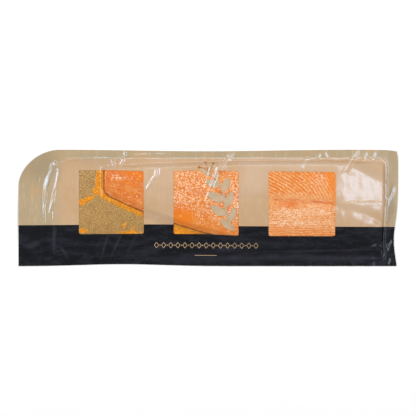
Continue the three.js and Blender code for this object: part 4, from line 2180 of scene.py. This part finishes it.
@dataclass(frozen=True)
class InkShape:
    """A flat printed shape: centres along its middle line, and a half width at each of them."""

    centre: Array
    half: Array
    broad_from: ClassVar[float] = 2.0
    broad_points: ClassVar[int] = 13
    fine_points: ClassVar[int] = 3

    @classmethod
    def curve(cls, points: Sequence[Point], half: float, step: float = 1.2) -> "InkShape":
        """Draws a smooth line through points, thinner at its ends.

        Args:
            points: The points.
            half: Half of its width.
            step: How far apart the places along it are.

        Returns:
            The shape.
        """
        least_places, end_slope, end_share = 6, 3, 0.25
        knots = np.array(points)
        last = len(knots) - 1
        length = sum(math.dist(a, b) for a, b in zip(points, points[1:]))
        at = np.linspace(0, last, max(least_places, int(length / step)))
        index = np.clip(at.astype(int), 0, last - 1)
        t = (at - index)[:, None]
        a, b = knots[np.maximum(index - 1, 0)], knots[index]
        c, d = knots[index + 1], knots[np.minimum(index + 2, last)]
        cubic = 2 * a - 5 * b + 4 * c - d + t * (3 * (b - c) + d - a)
        ends = np.clip(np.minimum(at, last - at) * end_slope, end_share, 1)
        return cls(b + t / 2 * (c - a + t * cubic), half * ends)

    @classmethod
    def straight(cls, start: Point, end: Point, halves: Sequence[float]) -> "InkShape":
        """Draws a straight shape.

        Args:
            start: Where it starts.
            end: Where it ends.
            halves: Its half width at even places along it.

        Returns:
            The shape.
        """
        return cls(np.linspace(start, end, len(halves)), np.array(halves))

    @classmethod
    def disc(cls, middle: Point, radius: float, count: int = 11) -> "InkShape":
        """Draws a disc.

        Args:
            middle: Its middle.
            radius: Its radius.
            count: How many places it has from side to side.

        Returns:
            The shape.
        """
        blunt = 0.01
        across = np.linspace(-1, 1, count)
        centre = np.stack([middle[0] + radius * across, np.full(count, middle[1])], axis=1)
        return cls(centre, radius * np.sqrt(1 + blunt - across**2))

    def spread(self) -> tuple[Array, Array]:
        """Spreads the shape out to both sides of its middle line.

        Returns:
            X and Y by place along it and place across it.
        """
        step = np.gradient(self.centre, axis=0)
        step /= np.linalg.norm(step, axis=1, keepdims=True)
        side = np.stack([-step[:, 1], step[:, 0]], axis=1) * self.half[:, None]
        broad = self.half.max() > self.broad_from
        shares = np.linspace(-1, 1, self.broad_points if broad else self.fine_points)
        return tuple(self.centre[:, i, None] + side[:, i, None] * shares for i in (0, 1))


@dataclass(frozen=True)
class Leaf:
    """A pointed printed leaf that grows from a base in a direction and bends to one side."""

    base: Point
    degrees: float
    length: float
    width: float
    bend: float
    bend_from: float = 0.2
    fullness: float = 0.62
    broad: float = 1.18
    narrowing: float = 0.36
    tip: float = 0.08
    least_places: int = 9

    def shape(self) -> InkShape:
        """Draws the leaf.

        Returns:
            Its shape.
        """
        share = np.linspace(0, 1, max(self.least_places, int(self.length)))
        turn = math.radians(self.degrees) + np.radians(self.bend) * (share - self.bend_from)
        step = self.length / (len(share) - 1)
        x = self.base[0] + np.concatenate([[0], np.cumsum(np.cos(turn[1:]) * step)])
        y = self.base[1] + np.concatenate([[0], np.cumsum(np.sin(turn[1:]) * step)])
        swell = (4 * share * (1 - share)) ** self.fullness * (self.broad - self.narrowing * share)
        return InkShape(np.stack([x, y], axis=1), self.width / 2 * swell + self.tip)


@dataclass
class Printing:
    """Fine printing on the film, as thin ink bodies that follow its surface."""

    form: FilmForm
    height: float = 0.12
    sink: float = 0.06
    stem: tuple[Point, ...] = ((44, -40), (33, -20), (27, 4), (24, 26), (14, 46), (0, 58))
    stem_half: float = 1.5
    leaves: tuple[Leaf, ...] = (
        Leaf((41, -34), 150, 26, 11, -22),
        Leaf((34, -22), 62, 25, 10, 20),
        Leaf((30, -10), 160, 30, 13, -24),
        Leaf((27, 2), 58, 28, 12, 22),
        Leaf((26, 14), 168, 30, 14, -26),
        Leaf((24, 27), 64, 24, 11, 22),
        Leaf((19, 38), 172, 25, 12, -20),
        Leaf((12, 47), 72, 14, 7, 20),
        Leaf((4, 55), 158, 17, 8, -10),
    )
    stalks: tuple[tuple[Point, Point], ...] = (
        ((-6, 64), (-15, 66)), ((-2, 66), (-5, 74)), ((5, 65), (8, 73)),
    )
    stalk_half: float = 0.6
    bud: float = 2.2
    lozenges: int = 15
    row_middle: Point = (-3.4, -61.2)
    row_slope: float = -0.006
    spacing: float = 11.6
    lozenge: Point = (3.6, 4.6)
    lozenge_halves: tuple[float, ...] = (0.42,) * 5
    dot_reach: float = 1.1
    dot_halves: tuple[float, ...] = (0.1, 0.8, 1.1, 0.8, 0.1)
    rule: tuple[Point, Point] = ((-22.0, -77.4), (13.6, -77.6))
    rule_halves: tuple[float, ...] = (0.4,) * 28
    leaf_look: PlainPaint = PlainPaint(
        "leaf_print",
        roughness=0.18,
        ior=1.8,
        gloss=FilmPrint.gloss,
        tone=paint(200, 172, 138),
        other=paint(190, 164, 128),
        size=9.0,
    )
    bud_look: PlainPaint = PlainPaint(
        "copper_print", roughness=0.3, tone=paint(186, 108, 48), other=paint(160, 88, 36)
    )
    band_look: PlainPaint = PlainPaint(
        "beige_ink", roughness=0.4, tone=paint(190, 160, 124), other=paint(170, 140, 104)
    )

    def _ink(self, name: str, shapes: Iterable[InkShape], look: Finish) -> Piece:
        """Makes one piece from several shapes.

        Args:
            name: Name of the piece.
            shapes: The shapes.
            look: The ink.

        Returns:
            The piece.
        """
        parts = []
        for number, shape in enumerate(shapes):
            x, y = shape.spread()
            part = Bench.grid(f"{name}_{number}", x, y, self.form.height(x, y) + self.height)
            Bench.thicken(part, lambda px, py: self.form.height(px, py) - self.sink)
            parts.append(part)
        Bench.clear()
        for part in parts:
            part.select_set(True)
        bpy.context.view_layer.objects.active = parts[0]
        bpy.ops.object.join()
        piece = Bench.named(name)
        Bench.finish(piece, Slot.PRINT, [look.material()])
        return piece

    def sprig(self) -> Piece:
        """Prints a leafy sprig across the middle window.

        Returns:
            The piece.
        """
        shapes = [InkShape.curve(self.stem, self.stem_half)]
        shapes += [leaf.shape() for leaf in self.leaves]
        return self._ink("leaf_print", shapes, self.leaf_look)

    def buds(self) -> Piece:
        """Prints three copper buds on thin stalks at the tip of the sprig.

        Returns:
            The piece.
        """
        shapes = []
        for bend, tip in self.stalks:
            shapes.append(InkShape.curve([self.stem[-1], bend, tip], self.stalk_half))
            shapes.append(InkShape.disc(tip, self.bud))
        return self._ink("copper_print", shapes, self.bud_look)

    def ornament(self) -> Piece:
        """Prints a row of open lozenges and dots on the black band, over a short rule.

        Returns:
            The piece.
        """
        shapes = []
        wide, high = self.lozenge
        for i in range(self.lozenges):
            x = self.row_middle[0] + (i - (self.lozenges - 1) / 2) * self.spacing
            y = self.row_middle[1] + self.row_slope * x
            corners = [(x, y + high), (x + wide, y), (x, y - high), (x - wide, y)]
            for a, b in zip(corners, corners[1:] + corners[:1]):
                shapes.append(InkShape.straight(a, b, self.lozenge_halves))
            if i < self.lozenges - 1:
                start = (x + self.spacing / 2 - self.dot_reach, y)
                end = (x + self.spacing / 2 + self.dot_reach, y)
                shapes.append(InkShape.straight(start, end, self.dot_halves))
        shapes.append(InkShape.straight(*self.rule, self.rule_halves))
        return self._ink("band_ornament", shapes, self.band_look)


@dataclass(frozen=True)
class Softbox:
    """A soft light that faces the pouch; lengths are in metres."""

    name: str
    place: Spot
    level_side: float
    sloping_side: float
    radiance: float

    def hang(self) -> None:
        """Hangs the light in the scene."""
        lamp = bpy.data.lights.new(self.name, "AREA")
        lamp.shape = "RECTANGLE"
        lamp.size, lamp.size_y = self.level_side, self.sloping_side
        lamp.energy = self.radiance * math.pi * self.level_side * self.sloping_side
        holder = bpy.data.objects.new(self.name, lamp)
        holder.location = self.place
        holder.rotation_euler = (-Vector(self.place)).to_track_quat("-Z", "Y").to_euler()
        bpy.context.scene.collection.objects.link(holder)


@dataclass
class Studio:
    """Pale floor, soft lights and the camera straight above; camera and view are in metres."""

    lens: float = 200.0
    sensor: float = 36.0
    view_width: float = 0.6798
    centre: Point = (-0.0005, -0.0001)
    clip_end: float = 50.0
    floor_size: float = 12.0
    floor_gap: float = 0.25
    world_level: float = 0.46
    world_seen: float = 0.93
    softboxes: tuple[Softbox, ...] = (
        Softbox("softbox_right", (0.8, 0.05, 1.4), 1.15, 0.4, 6.1),
        Softbox("softbox_left", (-1.1, 0.3, 1.3), 1.1, 0.34, 9.6),
        Softbox("softbox_back", (0.1, 1.2, 1.3), 1.2, 0.22, 8.0),
    )
    floor_look: PlainPaint = PlainPaint(
        "floor", roughness=0.9, ior=1.2, tone=(0.96,) * 3, other=(0.95,) * 3, size=400.0
    )

    def floor(self) -> None:
        """Lays the floor just under the pouch."""
        Bench.clear()
        bpy.ops.mesh.primitive_plane_add(size=self.floor_size, location=(0, 0, 0))
        floor = Bench.named("floor")
        Bench.place(floor, Bench.places(floor) - np.array([0, 0, self.floor_gap]))
        floor.data.materials.append(self.floor_look.material())

    def world(self) -> None:
        """Fills the surroundings with even light, and shows them nearly white."""
        sky = bpy.data.worlds.new("studio")
        sky.use_nodes = True
        sheet = NodeSheet(sky.node_tree)
        seen = sheet.add("ShaderNodeLightPath").outputs["Is Camera Ray"]
        colour = sheet.mix(seen, (self.world_level,) * 3, (self.world_seen,) * 3)
        ground = sheet.add("ShaderNodeBackground", {"Color": colour})
        sheet.add("ShaderNodeOutputWorld", {"Surface": ground.outputs[0]})
        bpy.context.scene.world = sky

    def camera(self) -> None:
        """Sets the camera over the pouch at the photo's framing."""
        data = bpy.data.cameras.new("camera")
        data.lens, data.sensor_width = self.lens, self.sensor
        data.clip_end = self.clip_end
        holder = bpy.data.objects.new("camera", data)
        holder.location = (*self.centre, self.view_width * self.lens / self.sensor)
        bpy.context.scene.collection.objects.link(holder)
        bpy.context.scene.camera = holder

    def build(self) -> None:
        """Sets up the whole studio."""
        self.floor()
        for softbox in self.softboxes:
            softbox.hang()
        self.world()
        self.camera()
        bpy.context.scene.view_settings.view_transform = "Standard"


def main() -> None:
    """Builds every piece, reports it, and sets up the studio."""
    logging.basicConfig(level=logging.INFO, format="%(name)s: %(message)s")
    form = FilmForm()
    printing = Printing(form)
    steps = (
        PouchFilm(form).build,
        GoldTray(form.card).build,
        SalmonSide(form).build,
        OilPool(form).build,
        ProteinSpecks(form).build,
        printing.sprig,
        printing.buds,
        printing.ornament,
    )
    for step in steps:
        piece = step()
        LOG.info("%s: %d faces", piece.name, len(piece.data.polygons))
    Studio().build()


if __name__ == "__main__":
    main()
